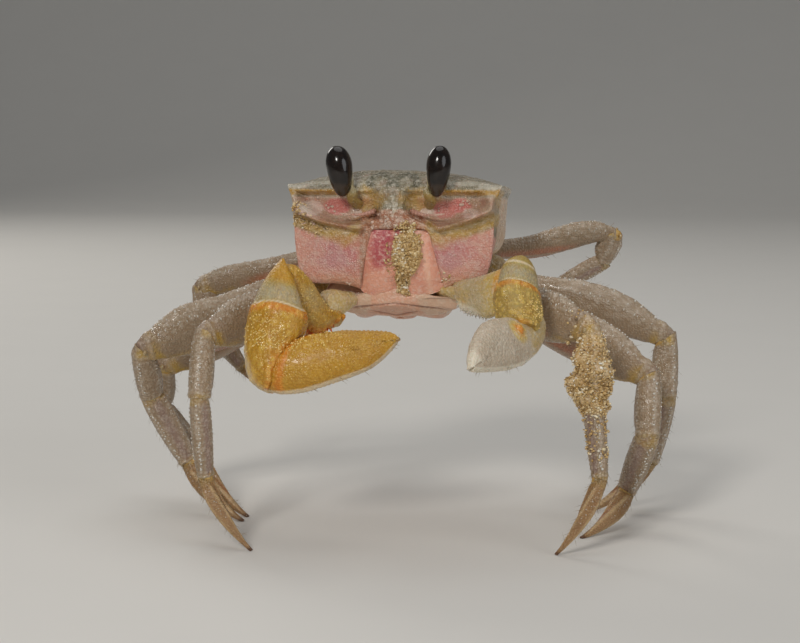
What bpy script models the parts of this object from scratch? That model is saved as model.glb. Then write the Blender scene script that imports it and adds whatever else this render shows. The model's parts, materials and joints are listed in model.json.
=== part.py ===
"""A ghost crab at life size, as a still model: it faces -Y and stands on the tips of six of its walking legs,
with the short last pair held up, the large claw folded across its right front and the small one on its left.

Lengths are in millimetres, and solid() turns them into metres. The world's origin is on the floor, under
the middle of the whole crab."""

import math

import bpy
import bmesh
from mathutils import Matrix, Vector

MM = 0.001
GAP = 0.3  # between neighbouring pieces
KNUCKLE = 0.8  # most that the outside of a bent joint runs on, as a share of the limb's half height
RIGHT = -1  # the crab's own right is at -X
LEFT = 1
SIDES = {"right": RIGHT, "left": LEFT}

# The body box: a broad square shell with upright sides, carried nose up.
SHELL_HALF_WIDTH = 21.0
SHELL_HALF_LENGTH = 18.0
SHELL_RIDGE = 25.4  # height of the shell's sharp upper edge over the underside
SHELL_DOME = 3.6  # how far the back swells above that edge
BODY_CLEARANCE = 41.0  # from the floor to the front of the underside
BODY_PITCH = 6.0  # degrees
BODY_PIVOT = -13.0  # where along the body the clearance is measured

# The orbits: two wide troughs across the front, on each side of the narrow rostrum.
ORBIT_FLOOR = 19.2
ORBIT_CEILING = 22.2
ORBIT_DEPTH = 4.8
ROSTRUM_HALF_WIDTH = 2.2

# The mouth frame, closed by the two outer mouth plates.
FRAME_HALF_WIDTH = 6.6
FRAME_TOP = 16.2
FRAME_DEPTH = 2.5
MOUTH_PLATE_CROWN = 0.5

# Eyes on stalks.
EYE_LENGTH = 9.3
EYE_WIDTH = 5.0
EYE_SPREAD = {"right": 9.2, "left": 8.6}  # from the middle plane to the foot of each eye
EYE_FOOT = 23.9  # height of that foot over the underside
EYE_FRONT = -19.5  # how far forward it is
EYE_LEAN = {"right": 10.0, "left": 2.0}  # degrees outwards

# Walking legs: thigh (with hip), knee piece, shank and toe, each (length, height, thickness).
LEG_SIZES = {
    2: ((30.0, 9.2, 4.4), (12.0, 5.0, 3.9), (15.3, 4.1, 3.3), (16.0, 3.1, 2.5)),
    3: ((38.0, 9.8, 4.6), (11.8, 5.4, 4.2), (15.5, 5.1, 3.7), (16.5, 3.6, 2.7)),
    4: ((38.0, 8.8, 4.4), (11.5, 5.4, 4.1), (15.5, 5.1, 3.6), (16.5, 3.5, 2.6)),
    5: ((31.0, 5.3, 3.0), (7.5, 3.7, 2.8), (12.0, 3.4, 2.4), (9.5, 2.3, 1.9)),
}
# Where each hip leaves the body, in body coordinates for the left side.
HIPS = {2: (15.0, -6.0, 6.2), 3: (16.5, 0.0, 7.9), 4: (16.5, 6.0, 9.5), 5: (13.5, 12.0, 14.1)}

# The stance: (azimuth, elevation) in degrees for thigh, knee piece and shank. Azimuth 0 points straight out
# from the body and 90 points forward. A toe that stands has an azimuth only, and is aimed down to the floor.
STANCE = {
    ("right", 2): ((49, -14), (88, -68), (-116, -84), 160),
    ("right", 3): ((24, -20), (-92, -58), (-160, -62), 158),
    ("right", 4): ((7, -31), (-70, -56), (140, -34), 150),
    ("right", 5): ((0, -16), (-160, -78), (170, -50), (170, -20)),
    ("left", 2): ((40, -11), (75, -80), (62, -78), 166),
    ("left", 3): ((18, -27), (94, -72), (-114, -53), 124),
    ("left", 4): ((3, -20), (95, -87), (-114, -65), 160),
    ("left", 5): ((-19, 5), (-138, -56), (176, -28), (170, -50)),
}
TIP_HEIGHT = 0.12  # centre of a standing tip over the floor, so that a small flat is cut on it

# Claw arms: foot piece, arm, wrist and hand, each (length, height, thickness), and their stance.
CLAW_SIZES = {
    "right": ((7.5, 5.8, 4.8), (15.5, 7.6, 6.4), (14.8, 10.6, 8.0), (26.0, 11.6, 6.6)),
    "left": ((6.5, 5.4, 4.6), (14.5, 7.4, 6.0), (11.5, 9.8, 7.6), (20.0, 11.0, 5.8)),
}
CLAW_HIP = (8.0, -12.4, 3.2)
CLAW_STANCE = {
    "right": ((62, -20), (42, 32), (86, -70), (178, 7)),
    "left": ((36, 0), (38, 22), (82, -46), (111, -9)),
}

# Outlines along a piece: (place from 0 to 1, extent above the axis, extent below it, half thickness), the
# last three as shares of the piece's height and thickness.
THIGH = (
    (0.00, 0.29, 0.29, 0.44), (0.045, 0.33, 0.33, 0.50), (0.085, 0.25, 0.27, 0.42), (0.12, 0.32, 0.32, 0.44),
    (0.16, 0.27, 0.28, 0.38), (0.24, 0.40, 0.38, 0.44), (0.42, 0.50, 0.47, 0.50), (0.62, 0.50, 0.46, 0.50),
    (0.80, 0.46, 0.36, 0.48), (0.92, 0.37, 0.27, 0.44), (1.00, 0.26, 0.23, 0.38),
)
KNEE_PIECE = (
    (0.00, 0.40, 0.36, 0.42), (0.12, 0.46, 0.42, 0.48), (0.50, 0.52, 0.48, 0.50), (0.86, 0.48, 0.46, 0.48),
    (1.00, 0.40, 0.40, 0.42),
)
SHANK = (
    (0.00, 0.42, 0.42, 0.42), (0.10, 0.49, 0.48, 0.49), (0.45, 0.50, 0.50, 0.50), (0.85, 0.42, 0.42, 0.44),
    (1.00, 0.35, 0.35, 0.38),
)
TOE = (
    (0.00, 0.40, 0.40, 0.42), (0.08, 0.48, 0.48, 0.48), (0.35, 0.42, 0.40, 0.42), (0.65, 0.28, 0.26, 0.30),
    (0.88, 0.16, 0.15, 0.19), (1.00, 0.10, 0.10, 0.13),
)
CLAW_FOOT = ((0.0, 0.40, 0.40, 0.40), (0.3, 0.50, 0.50, 0.50), (0.8, 0.48, 0.50, 0.48), (1.0, 0.40, 0.44, 0.42))
CLAW_ARM = (
    (0.00, 0.32, 0.34, 0.40), (0.15, 0.42, 0.42, 0.46), (0.50, 0.50, 0.50, 0.50), (0.85, 0.52, 0.48, 0.50),
    (1.00, 0.40, 0.38, 0.40),
)
CLAW_WRIST = (
    (0.00, 0.34, 0.32, 0.36), (0.15, 0.44, 0.42, 0.46), (0.50, 0.52, 0.48, 0.52), (0.85, 0.50, 0.46, 0.50),
    (1.00, 0.42, 0.36, 0.42),
)
HAND = (
    (0.00, 0.28, 0.24, 0.36), (0.06, 0.32, 0.40, 0.44), (0.18, 0.36, 0.52, 0.50), (0.35, 0.39, 0.56, 0.50),
    (0.50, 0.39, 0.51, 0.48), (0.54, 0.36, 0.49, 0.44), (0.555, -0.05, 0.48, 0.38), (0.66, -0.12, 0.43, 0.32),
    (0.76, -0.20, 0.37, 0.24), (0.83, -0.27, 0.335, 0.15),
)
FINGER = (
    (0.575, 0.33, 0.03, 0.34), (0.62, 0.37, 0.065, 0.40), (0.74, 0.33, 0.15, 0.34), (0.84, 0.285, 0.21, 0.26),
    (0.93, 0.24, 0.15, 0.19), (1.00, 0.20, 0.00, 0.10), (1.03, 0.15, -0.08, 0.05),
)
EYEBALL = (
    (0.00, 0.12, 0.12, 0.12), (0.10, 0.25, 0.25, 0.25), (0.28, 0.38, 0.38, 0.37), (0.50, 0.47, 0.47, 0.45),
    (0.66, 0.50, 0.50, 0.47), (0.82, 0.44, 0.44, 0.42), (0.94, 0.27, 0.27, 0.26), (1.00, 0.11, 0.11, 0.10),
)

# Finish of each material: colour, roughness.
FINISHES = {
    "shell_grey_green": ((0.32, 0.33, 0.26), 0.38),
    "sternum_shell": ((0.52, 0.36, 0.28), 0.42),
    "mouth_plate": ((0.60, 0.36, 0.30), 0.40),
    "leg_shell": ((0.36, 0.29, 0.25), 0.34),
    "toe_horn": ((0.36, 0.20, 0.12), 0.40),
    "claw_gold": ((0.72, 0.40, 0.06), 0.36),
    "claw_pale": ((0.58, 0.48, 0.40), 0.38),
    "eye_cornea": ((0.03, 0.022, 0.02), 0.12),
    "eyestalk_shell": ((0.45, 0.42, 0.36), 0.40),
}


def clear_scene():
    for thing in list(bpy.data.objects):
        bpy.data.objects.remove(thing, do_unlink=True)


def finish(name):
    """The material of this name, made once."""
    found = bpy.data.materials.get(name)
    if found:
        return found
    colour, roughness = FINISHES[name]
    made = bpy.data.materials.new(name)
    made.use_nodes = True
    shader = made.node_tree.nodes["Principled BSDF"]
    shader.inputs["Base Color"].default_value = (*colour, 1.0)
    shader.inputs["Roughness"].default_value = roughness
    shader.inputs["Metallic"].default_value = 0.0
    return made


def solid(name, bm, material, place=Matrix.Identity(4)):
    """A closed bmesh in millimetres becomes a named object in metres."""
    bmesh.ops.transform(bm, matrix=Matrix.Scale(MM, 4) @ place, verts=bm.verts)
    bmesh.ops.recalc_face_normals(bm, faces=bm.faces)
    mesh = bpy.data.meshes.new(name)
    bm.to_mesh(mesh)
    bm.free()
    mesh.materials.append(finish(material))
    mesh.shade_smooth()
    mesh.set_sharp_from_angle(angle=math.radians(40))
    made = bpy.data.objects.new(name, mesh)
    bpy.context.scene.collection.objects.link(made)
    return made


def smooth(low, high, value):
    """0 below low, 1 above high, and a soft step between."""
    t = min(max((value - low) / (high - low), 0.0), 1.0)
    return t * t * (3.0 - 2.0 * t)


def along(stations, place):
    """The value at a place, on straight lines between (place, value) stations."""
    if place <= stations[0][0]:
        return stations[0][1]
    for (a, first), (b, second) in zip(stations, stations[1:]):
        if place <= b:
            return first + (second - first) * (place - a) / (b - a)
    return stations[-1][1]


def body_place():
    """From body coordinates, with z = 0 at the underside, to the pitched body over the floor."""
    lift = Matrix.Translation((0.0, BODY_PIVOT, BODY_CLEARANCE))
    turn = Matrix.Rotation(-math.radians(BODY_PITCH), 4, "X")
    return lift @ turn @ Matrix.Translation((0.0, -BODY_PIVOT, 0.0))


def heading(side, azimuth, elevation):
    a = math.radians(azimuth)
    e = math.radians(elevation)
    return Vector((side * math.cos(e) * math.cos(a), -math.cos(e) * math.sin(a), math.sin(e)))


# Lofted pieces -------------------------------------------------------------------------------------


def loft(rings):
    """A closed skin over rings that have the same number of points, with a face on each end."""
    bm = bmesh.new()
    rows = [[bm.verts.new(point) for point in ring] for ring in rings]
    for near, far in zip(rows, rows[1:]):
        for k in range(len(near)):
            n = (k + 1) % len(near)
            bm.faces.new((near[k], near[n], far[n], far[k]))
    bm.faces.new(rows[0][::-1])
    bm.faces.new(rows[-1])
    return bm


def section(up, across, above, below, half, sides, keel=0.0):
    """Offsets round one ring: an oval that reaches above and below the axis, narrower on top with a keel."""
    middle = (above - below) / 2.0
    reach = (above + below) / 2.0
    offsets = []
    for k in range(sides):
        a = 2.0 * math.pi * k / sides
        width = half * math.sin(a) * (1.0 - keel * math.cos(a))
        offsets.append(up * (middle + reach * math.cos(a)) + across * width)
    return offsets


def slide(offset, course, normal, clear):
    """How far along its course an offset point moves to lie at a joint's plane, kept clear of it. On the
    outside of a sharp bend it stops short, which leaves the knuckle blunt."""
    travel = (clear - offset.dot(normal)) / course.dot(normal)
    limit = KNUCKLE * offset.length
    return min(travel, limit) if clear <= 0.0 else max(travel, -limit)


def segment_rings(start, end, before, after, across, outline, height, thickness, sides=8, keel=0.0, bow=0.0,
                  hold=2.0):
    """Rings of one piece of a limb, its ends on the planes that halve the bends to its neighbours.
    hold says how closely to an end the slant of that end's plane stays."""
    course = (end - start).normalized()
    length = (end - start).length
    up = across.cross(course).normalized()
    side = course.cross(up).normalized()
    first = (course + (before or course)).normalized()
    last = (course + (after or course)).normalized()
    rings = []
    for place, above, below, half in outline:
        lift = bow * 4.0 * place * (1.0 - place)
        offsets = section(up, side, above * height + lift, below * height - lift, half * thickness, sides, keel)
        ring = []
        for offset in offsets:
            foot = slide(offset, course, first, GAP / 2.0 if before else 0.0)
            head = slide(offset, course, last, -GAP / 2.0 if after else 0.0)
            travel = place * length + (1.0 - place) ** hold * foot + place ** hold * head
            ring.append(start + course * travel + offset)
        rings.append(ring)
    return rings


def joints(root, side, stance, sizes):
    """The joint points of a limb. A last azimuth with no elevation is aimed so that the tip meets the floor."""
    points = [root]
    for angles, (length, _, _) in zip(stance, sizes):
        if isinstance(angles, tuple):
            course = heading(side, *angles)
        else:
            drop = math.asin(min((points[-1].z - TIP_HEIGHT) / length, 1.0))
            course = heading(side, angles, -math.degrees(drop))
        points.append(points[-1] + course * length)
    return points


def directions(points):
    return [(b - a).normalized() for a, b in zip(points, points[1:])]


def bend_axis(side, courses):
    """The line that a limb's joints turn about: square to its thigh and its lower part."""
    lower = (courses[1] + courses[2]).normalized()
    return courses[0].cross(lower).normalized()


# Body ----------------------------------------------------------------------------------------------


def cut_block(xs, ys, zs):
    """A box from the first to the last of each list, its faces cut at the values between."""
    bm = bmesh.new()
    bmesh.ops.create_cube(bm, size=1.0)
    spans = [values[-1] - values[0] for values in (xs, ys, zs)]
    middles = [(values[-1] + values[0]) / 2.0 for values in (xs, ys, zs)]
    bmesh.ops.scale(bm, vec=spans, verts=bm.verts)
    bmesh.ops.translate(bm, vec=middles, verts=bm.verts)
    for axis, values in enumerate((xs, ys, zs)):
        normal = Vector([float(k == axis) for k in range(3)])
        for value in values[1:-1]:
            whole = bm.verts[:] + bm.edges[:] + bm.faces[:]
            bmesh.ops.bisect_plane(bm, geom=whole, dist=1e-5, plane_co=normal * value, plane_no=normal)
    return bm


def mirrored(values):
    """A list of distances from the middle, given on both sides of it."""
    return [-v for v in reversed(values) if v] + list(values)


def shell_width(y):
    """Half width of the shell, as a share of the widest, along its length."""
    return 1.02 - 0.05 * (1.0 - smooth(-18.0, -6.0, y)) - 0.40 * max(0.0, (y + 2.0) / 20.0) ** 2


# How the shell's upright faces run, as stations for along(), by height unless it says otherwise: the share of the
# full width, how far the front stands back, the lower edge by place along the body, how much of the orbit's lip
# a height takes, and the dome of the back by place along the body.
WALL = ((5.0, 0.60), (6.4, 0.76), (8.6, 0.87), (12.0, 0.925), (16.0, 0.935), (22.0, 0.955), (24.2, 0.985),
        (25.4, 1.0))
BROW = ((5.0, 4.2), (6.4, 2.3), (8.6, 1.0), (12.0, 0.2), (16.0, -0.2), (17.8, -0.5), (19.2, 0.4), (22.2, 0.4),
        (24.2, -0.3), (25.4, 0.5))
SKIRT = ((-14.0, 5.2), (-11.0, 7.4), (-8.0, 9.8), (-1.0, 12.0), (6.0, 14.6), (12.0, 17.2), (18.0, 17.6))
LIP_SHARE = ((12.0, 0.0), (16.2, 0.4), (16.9, 0.7), (17.8, 1.0), (19.2, 0.9), (22.2, 0.0))
LIP_SHARE_IN_FRAME = ((16.2, 0.0), (16.9, 0.2), (17.8, 0.6), (19.2, 0.5), (22.2, 0.0))
BACK = ((-18.0, 0.0), (-16.4, 0.42), (-12.0, 0.80), (-6.0, 1.0), (2.0, 1.0), (8.0, 0.85), (14.0, 0.48), (18.0, 0.0))


def lip_rise(x):
    """How far the lower lip of the orbit stands over its middle height: lowest below the eye, high at both ends."""
    return along(((0.0, 2.2), (4.4, 1.2), (9.0, -1.6), (14.0, -0.2), (SHELL_HALF_WIDTH, 2.4)), abs(x))


def carapace():
    """The whole shell in one piece: back, side walls, cheeks, orbits, rostrum and mouth frame."""
    half = (0.0, ROSTRUM_HALF_WIDTH, 4.4, FRAME_HALF_WIDTH, 7.4, 10.8, 14.4, 17.6, 20.0, SHELL_HALF_WIDTH)
    columns = mirrored(half)
    slices = (-SHELL_HALF_LENGTH, -16.4, -12.0, -7.0, -2.0, 3.0, 8.0, 13.0, 16.4, SHELL_HALF_LENGTH)
    rows = (5.0, 6.4, 8.6, 12.0, FRAME_TOP, 16.9, 17.8, ORBIT_FLOOR, ORBIT_CEILING, 24.2, SHELL_RIDGE)
    bm = cut_block(columns, slices, rows)
    for vert in bm.verts:
        x, y, z = vert.co
        out = abs(x) / SHELL_HALF_WIDTH
        on_front = y < -SHELL_HALF_LENGTH + 0.01
        dome = SHELL_DOME * (1.0 - out ** 2.4) * along(BACK, y) - 3.2 * smooth(4.0, 18.0, y)
        set_back = 2.0 * out ** 2 + along(BROW, z)
        in_orbit = smooth(2.6, 5.2, abs(x)) * (1.0 - smooth(17.8, 20.2, abs(x)))
        if on_front and ORBIT_FLOOR - 0.1 < z < ORBIT_CEILING + 0.1:
            set_back += ORBIT_DEPTH * in_orbit
        if on_front and z > ORBIT_FLOOR - 0.1 and abs(x) < ROSTRUM_HALF_WIDTH + 0.1:
            set_back -= 1.1
        if z < FRAME_TOP + 0.1 and abs(x) < FRAME_HALF_WIDTH + 0.1:
            set_back = FRAME_DEPTH + max(along(BROW, z), 0.0)
        in_frame = abs(x) < FRAME_HALF_WIDTH + 0.1
        lip = lip_rise(x) * along(LIP_SHARE_IN_FRAME if in_frame else LIP_SHARE, z) * on_front
        wall = 1.0 - (1.0 - along(WALL, z)) * (1.0 - 0.5 * smooth(-12.0, 4.0, y))
        beyond = max(abs(x) - FRAME_HALF_WIDTH, 0.0) / (SHELL_HALF_WIDTH - FRAME_HALF_WIDTH)
        reach = min(abs(x), FRAME_HALF_WIDTH) + beyond * (wall * SHELL_HALF_WIDTH - FRAME_HALF_WIDTH)
        vert.co.x = math.copysign(reach, x) * shell_width(y)
        vert.co.y = y + (set_back * -y if y < 0.0 else -1.6 * out ** 2 * y) / SHELL_HALF_LENGTH
        share = (z - rows[0]) / (SHELL_RIDGE - rows[0])
        low = along(SKIRT, vert.co.y) + 2.4 * out ** 2 * (1.0 - smooth(-14.0, -4.0, y))
        vert.co.z = low + (SHELL_RIDGE - low) * share + lip + (dome if z > SHELL_RIDGE - 0.1 else 0.0)
    return solid("carapace", bm, "shell_grey_green", body_place())


# Stations along the breast plate: place, half width, height of the under side, height of the upper side.
STERNUM = (
    (-14.4, 5.0, 2.7, 3.5), (-11.9, 6.2, 1.7, 3.5), (-10.7, 6.5, 1.2, 6.9), (-9.2, 7.0, 0.6, 8.1),
    (-7.0, 8.6, 0.3, 9.5), (-4.6, 10.2, 0.0, 10.2), (0.5, 10.8, 0.0, 11.7), (6.0, 10.8, 0.8, 13.9),
    (12.0, 9.0, 4.6, 16.5), (15.4, 6.8, 9.4, 16.9),
)


def sternum_lines():
    """Its half width, under side and upper side, each as stations for along()."""
    return [[(row[0], row[k]) for row in STERNUM] for k in (1, 2, 3)]


def sternum():
    """The breast plate and what it carries inside the ring of hips, up to the shell's lower edge."""
    places = [station[0] for station in STERNUM]
    widths, unders, overs = sternum_lines()
    bm = cut_block(mirrored((0.0, 0.34, 0.68, 1.0)), places, (0.0, 0.35, 1.0))
    for vert in bm.verts:
        x, y, z = vert.co
        trough = 1.4 * (1.0 - smooth(0.3, 0.66, abs(x))) * smooth(-8.0, -4.0, y)
        under = along(unders, y) + 0.6 * abs(x) ** 2 + trough
        tuck = 0.82 if z == 0.0 else 1.0
        vert.co.x = x * along(widths, y) * tuck
        vert.co.z = under + (along(overs, y) - under) * z
    return solid("sternum", bm, "sternum_shell", body_place())


def mouth_plate(name, side):
    """One outer mouth plate: a long lower part and a short upper one, with a shallow groove between."""
    crease = 10.9
    bm = cut_block((0.15, 2.2, 4.4, 6.1), (0.0, 1.0), (4.2, 5.6, 8.0, crease - 0.7, crease, crease + 0.7, 13.6, 15.9))
    for vert in bm.verts:
        x, y, z = vert.co
        crown = MOUTH_PLATE_CROWN * (1.0 - ((x - 3.2) / 3.0) ** 2)
        groove = 0.5 * (abs(z - crease) < 0.1)
        behind = FRAME_DEPTH + max(along(BROW, z), 0.0) - GAP - 18.0
        front = -18.0 + along(BROW, z) - 0.2 - crown + groove
        low = 1.0 - smooth(4.2, 8.0, z)
        vert.co.x = side * x
        vert.co.y = behind if y > 0.5 else min(front, behind - 0.9)
        vert.co.z = z + low * (1.3 - 0.25 * x)
    return solid(name, bm, "mouth_plate", body_place())


def abdomen():
    """The tail, folded from the back of the shell down and forward under the breast plate."""
    path = ((17.2, 16.8), (17.4, 12.6), (15.3, 8.6), (11.8, 4.6), (6.2, 1.0), (1.6, 0.4), (-2.0, 0.5))
    widths = (7.2, 6.2, 4.6, 3.4, 2.9, 2.4, 1.0)
    thick = 0.55
    rings = []
    for k, ((y, z), half) in enumerate(zip(path, widths)):
        y0, z0 = path[max(k - 1, 0)]
        y1, z1 = path[min(k + 1, len(path) - 1)]
        course = Vector((0.0, y1 - y0, z1 - z0)).normalized()
        out = Vector((0.0, -course.z, course.y)) * -1.0
        middle = Vector((0.0, y, z))
        rings.append([middle + offset for offset in section(out, Vector((1.0, 0.0, 0.0)), thick, thick, half, 8)])
    return solid("abdomen", loft(rings), "sternum_shell", body_place())


# Eyes and feelers ----------------------------------------------------------------------------------


def eye(side_name):
    """One tall oval eye, flat along its inner side where the stalk runs up it, and that stalk."""
    side = SIDES[side_name]
    place = body_place()
    lean = math.radians(EYE_LEAN[side_name])
    axis = Vector((side * math.sin(lean), 0.0, math.cos(lean)))
    inner = Vector((-side * math.cos(lean), 0.0, math.sin(lean)))
    back = Vector((0.0, 1.0, 0.0))
    foot = place @ Vector((side * EYE_SPREAD[side_name], EYE_FRONT, EYE_FOOT))
    top = foot + axis * EYE_LENGTH
    rings = segment_rings(foot, top, None, None, back, EYEBALL, EYE_WIDTH, EYE_WIDTH, 10)
    bm = loft(rings)
    flat = EYE_WIDTH / 2.0 - 0.35
    whole = bm.verts[:] + bm.edges[:] + bm.faces[:]
    bmesh.ops.bisect_plane(bm, geom=whole, plane_co=foot + inner * flat, plane_no=inner, clear_outer=True)
    bmesh.ops.holes_fill(bm, edges=[edge for edge in bm.edges if edge.is_boundary])
    solid(side_name + "_eye", bm, "eye_cornea")
    strip = flat + GAP + 0.35
    route = (
        (place @ Vector((side * 6.0, -14.6, 21.3)), 0.9, 1.1),
        (place @ Vector((side * 7.0, -17.0, 22.0)), 1.0, 1.1),
        (foot + inner * 1.4 - axis * 0.9, 1.05, 1.05),
        (foot + inner * strip + axis * 1.6, 0.34, 0.9),
        (foot + inner * strip + axis * 5.0, 0.34, 0.8),
        (foot + inner * (strip - 0.1) + axis * 8.0, 0.3, 0.45),
    )
    rings = []
    for k, (middle, deep, wide) in enumerate(route):
        ahead = route[min(k + 1, len(route) - 1)][0] - route[max(k - 1, 0)][0]
        up = back.cross(ahead).normalized()
        rings.append([middle + offset for offset in section(up, back, deep, deep, wide, 8)])
    solid(side_name + "_eyestalk", loft(rings), "eyestalk_shell")


def antenna(side_name):
    """The short outer feeler, lying along the floor of the orbit beside the rostrum."""
    side = SIDES[side_name]
    place = body_place()
    route = ((3.6, -17.9, 20.9), (5.0, -19.3, 20.4), (7.0, -20.0, 20.1), (9.6, -20.2, 20.3))
    widths = (0.65, 0.5, 0.34, 0.27)
    up = Vector((0.0, 0.0, 1.0))
    rings = []
    for k, (point, half) in enumerate(zip(route, widths)):
        middle = Vector((side * point[0], point[1], point[2]))
        ahead = Vector(route[min(k + 1, 3)]) - Vector(route[max(k - 1, 0)])
        across = up.cross(Vector((side * ahead.x, ahead.y, 0.0))).normalized()
        rings.append([middle + offset for offset in section(up, across, half, half, half, 6)])
    solid(side_name + "_antenna", loft(rings), "eyestalk_shell", place)


# Limbs ---------------------------------------------------------------------------------------------


def flatten_tip(bm):
    """Cut what is under the floor, which leaves a small flat on the tip."""
    whole = bm.verts[:] + bm.edges[:] + bm.faces[:]
    bmesh.ops.bisect_plane(bm, geom=whole, plane_co=(0.0, 0.0, 0.0), plane_no=(0.0, 0.0, -1.0), clear_outer=True)
    bmesh.ops.holes_fill(bm, edges=[edge for edge in bm.edges if edge.is_boundary])


def hip_rings(hip, side, stub, course, across, height, thickness):
    """The hip's short stub, straight out from the breast plate, ahead of the thigh's own rings."""
    out = Vector((side, 0.0, 0.0))
    up = across.cross(course).normalized()
    rings = []
    for share, above, half in ((1.0, 0.25, 0.42), (0.72, 0.31, 0.52), (0.3, 0.30, 0.50)):
        middle = hip - out * stub * share
        offsets = section(up, across, above * height, above * height, half * thickness, 8)
        rings.append([middle + offset - out * offset.dot(out) for offset in offsets])
    return rings


def leg(side_name, number):
    """A walking leg in four pieces, from the hip to the toe."""
    side = SIDES[side_name]
    name = f"{side_name}_leg_{number}_"
    x, y, z = HIPS[number]
    hip = body_place() @ Vector((side * x, y, z))
    sizes = LEG_SIZES[number]
    stance = STANCE[side_name, number]
    points = joints(hip, side, stance, sizes)
    courses = directions(points)
    across = bend_axis(side, courses)
    pieces = (("thigh", THIGH, "leg_shell", 3.0), ("knee", KNEE_PIECE, "leg_shell", 1.0),
              ("shank", SHANK, "leg_shell", 2.0), ("toe", TOE, "toe_horn", 3.0))
    for k, (part, outline, material, hold) in enumerate(pieces):
        before = courses[k - 1] if k else None
        after = courses[k + 1] if k < 3 else None
        _, height, thickness = sizes[k]
        bow = 0.05 * height if part == "thigh" else 0.0
        rings = segment_rings(points[k], points[k + 1], before, after, across, outline, height, thickness,
                              bow=bow, hold=hold)
        if part == "thigh":
            widths = sternum_lines()[0]
            stub = x - max(along(widths, y - thickness / 2.0), along(widths, y + thickness / 2.0)) - GAP
            rings = hip_rings(hip, side, stub, courses[0], across, height, thickness) + rings[1:]
        bm = loft(rings)
        if part == "toe" and not isinstance(stance[3], tuple):
            flatten_tip(bm)
        solid(name + part, bm, material)


def claw(side_name):
    """A claw arm in five pieces: foot, arm, wrist, hand with its fixed finger, and the moving finger."""
    side = SIDES[side_name]
    name = side_name + "_claw_"
    x, y, z = CLAW_HIP
    hip = body_place() @ Vector((side * x, y, z))
    sizes = CLAW_SIZES[side_name]
    points = joints(hip, side, CLAW_STANCE[side_name], sizes)
    courses = directions(points)
    across = courses[2].cross(courses[3]).normalized()
    arm_across = courses[1].cross(courses[2]).normalized()
    hand_material = "claw_gold" if side_name == "right" else "claw_pale"
    pieces = (
        ("foot", CLAW_FOOT, "claw_pale", arm_across, 0, 2.0, 0.0),
        ("arm", CLAW_ARM, "claw_gold", arm_across, 1, 1.5, 0.25),
        ("wrist", CLAW_WRIST, "claw_gold", across, 2, 1.0, 0.0),
        ("hand", HAND, hand_material, across, 3, 3.0, 0.0),
        ("finger", FINGER, hand_material, across, 3, 3.0, 0.0),
    )
    for part, outline, material, turn, k, hold, keel in pieces:
        _, height, thickness = sizes[k]
        before = courses[k - 1] if k else None
        after = courses[k + 1] if k < 3 else None
        rings = segment_rings(points[k], points[k + 1], before, after, turn, outline, height, thickness, 10, keel,
                              hold=hold)
        solid(name + part, loft(rings), material)


def set_on_origin():
    """Move the whole crab so that the origin is on the floor under the middle of it."""
    corners = [vert.co for thing in bpy.context.scene.objects for vert in thing.data.vertices]
    middle = [(min(c[k] for c in corners) + max(c[k] for c in corners)) / 2.0 for k in range(2)]
    shift = Matrix.Translation((-middle[0], -middle[1], 0.0))
    for thing in bpy.context.scene.objects:
        thing.data.transform(shift)


def main():
    clear_scene()
    carapace()
    sternum()
    abdomen()
    for side_name, side in SIDES.items():
        mouth_plate(side_name + "_mouth_plate", side)
        eye(side_name)
        antenna(side_name)
        claw(side_name)
        for number in LEG_SIZES:
            leg(side_name, number)
    set_on_origin()


main()
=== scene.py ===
"""The looks of the ghost crab: each solid of the frame is rounded, given its beads, ridges and grooves, and
painted, and the joint skins, bristles, hairs and grains of sand are added to it.

Lengths in the tables are in millimetres. The body's own frame has x to the crab's left, y to its back and
z up from the underside, and is pitched nose up over the floor."""

import itertools
import json
import math
import random

import bmesh
import bpy
import numpy as np
from mathutils import Matrix, Vector

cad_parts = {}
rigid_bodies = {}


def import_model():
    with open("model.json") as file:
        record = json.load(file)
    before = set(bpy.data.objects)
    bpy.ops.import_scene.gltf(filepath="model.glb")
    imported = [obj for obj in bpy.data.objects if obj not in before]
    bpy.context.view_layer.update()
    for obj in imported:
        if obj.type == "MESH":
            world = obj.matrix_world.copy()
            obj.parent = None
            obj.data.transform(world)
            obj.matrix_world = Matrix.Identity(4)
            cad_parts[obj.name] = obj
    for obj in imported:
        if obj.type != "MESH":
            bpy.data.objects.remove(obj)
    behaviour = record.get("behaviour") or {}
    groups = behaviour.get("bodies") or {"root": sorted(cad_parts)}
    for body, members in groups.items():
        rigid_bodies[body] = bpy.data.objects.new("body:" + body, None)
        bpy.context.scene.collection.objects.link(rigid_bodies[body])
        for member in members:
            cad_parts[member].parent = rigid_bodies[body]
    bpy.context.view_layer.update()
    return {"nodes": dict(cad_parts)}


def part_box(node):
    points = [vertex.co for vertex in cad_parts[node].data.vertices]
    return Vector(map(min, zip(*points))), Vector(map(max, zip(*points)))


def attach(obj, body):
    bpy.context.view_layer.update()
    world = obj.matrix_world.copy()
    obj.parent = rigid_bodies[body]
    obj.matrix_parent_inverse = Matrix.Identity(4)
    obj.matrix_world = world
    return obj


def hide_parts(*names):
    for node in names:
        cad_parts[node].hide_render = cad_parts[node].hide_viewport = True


for leftover in list(bpy.data.objects):
    bpy.data.objects.remove(leftover, do_unlink=True)

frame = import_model()

MM = 0.001
SIDES = {"right": -1, "left": 1}
COARSER = 0  # subdivision levels left out while trying things

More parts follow.
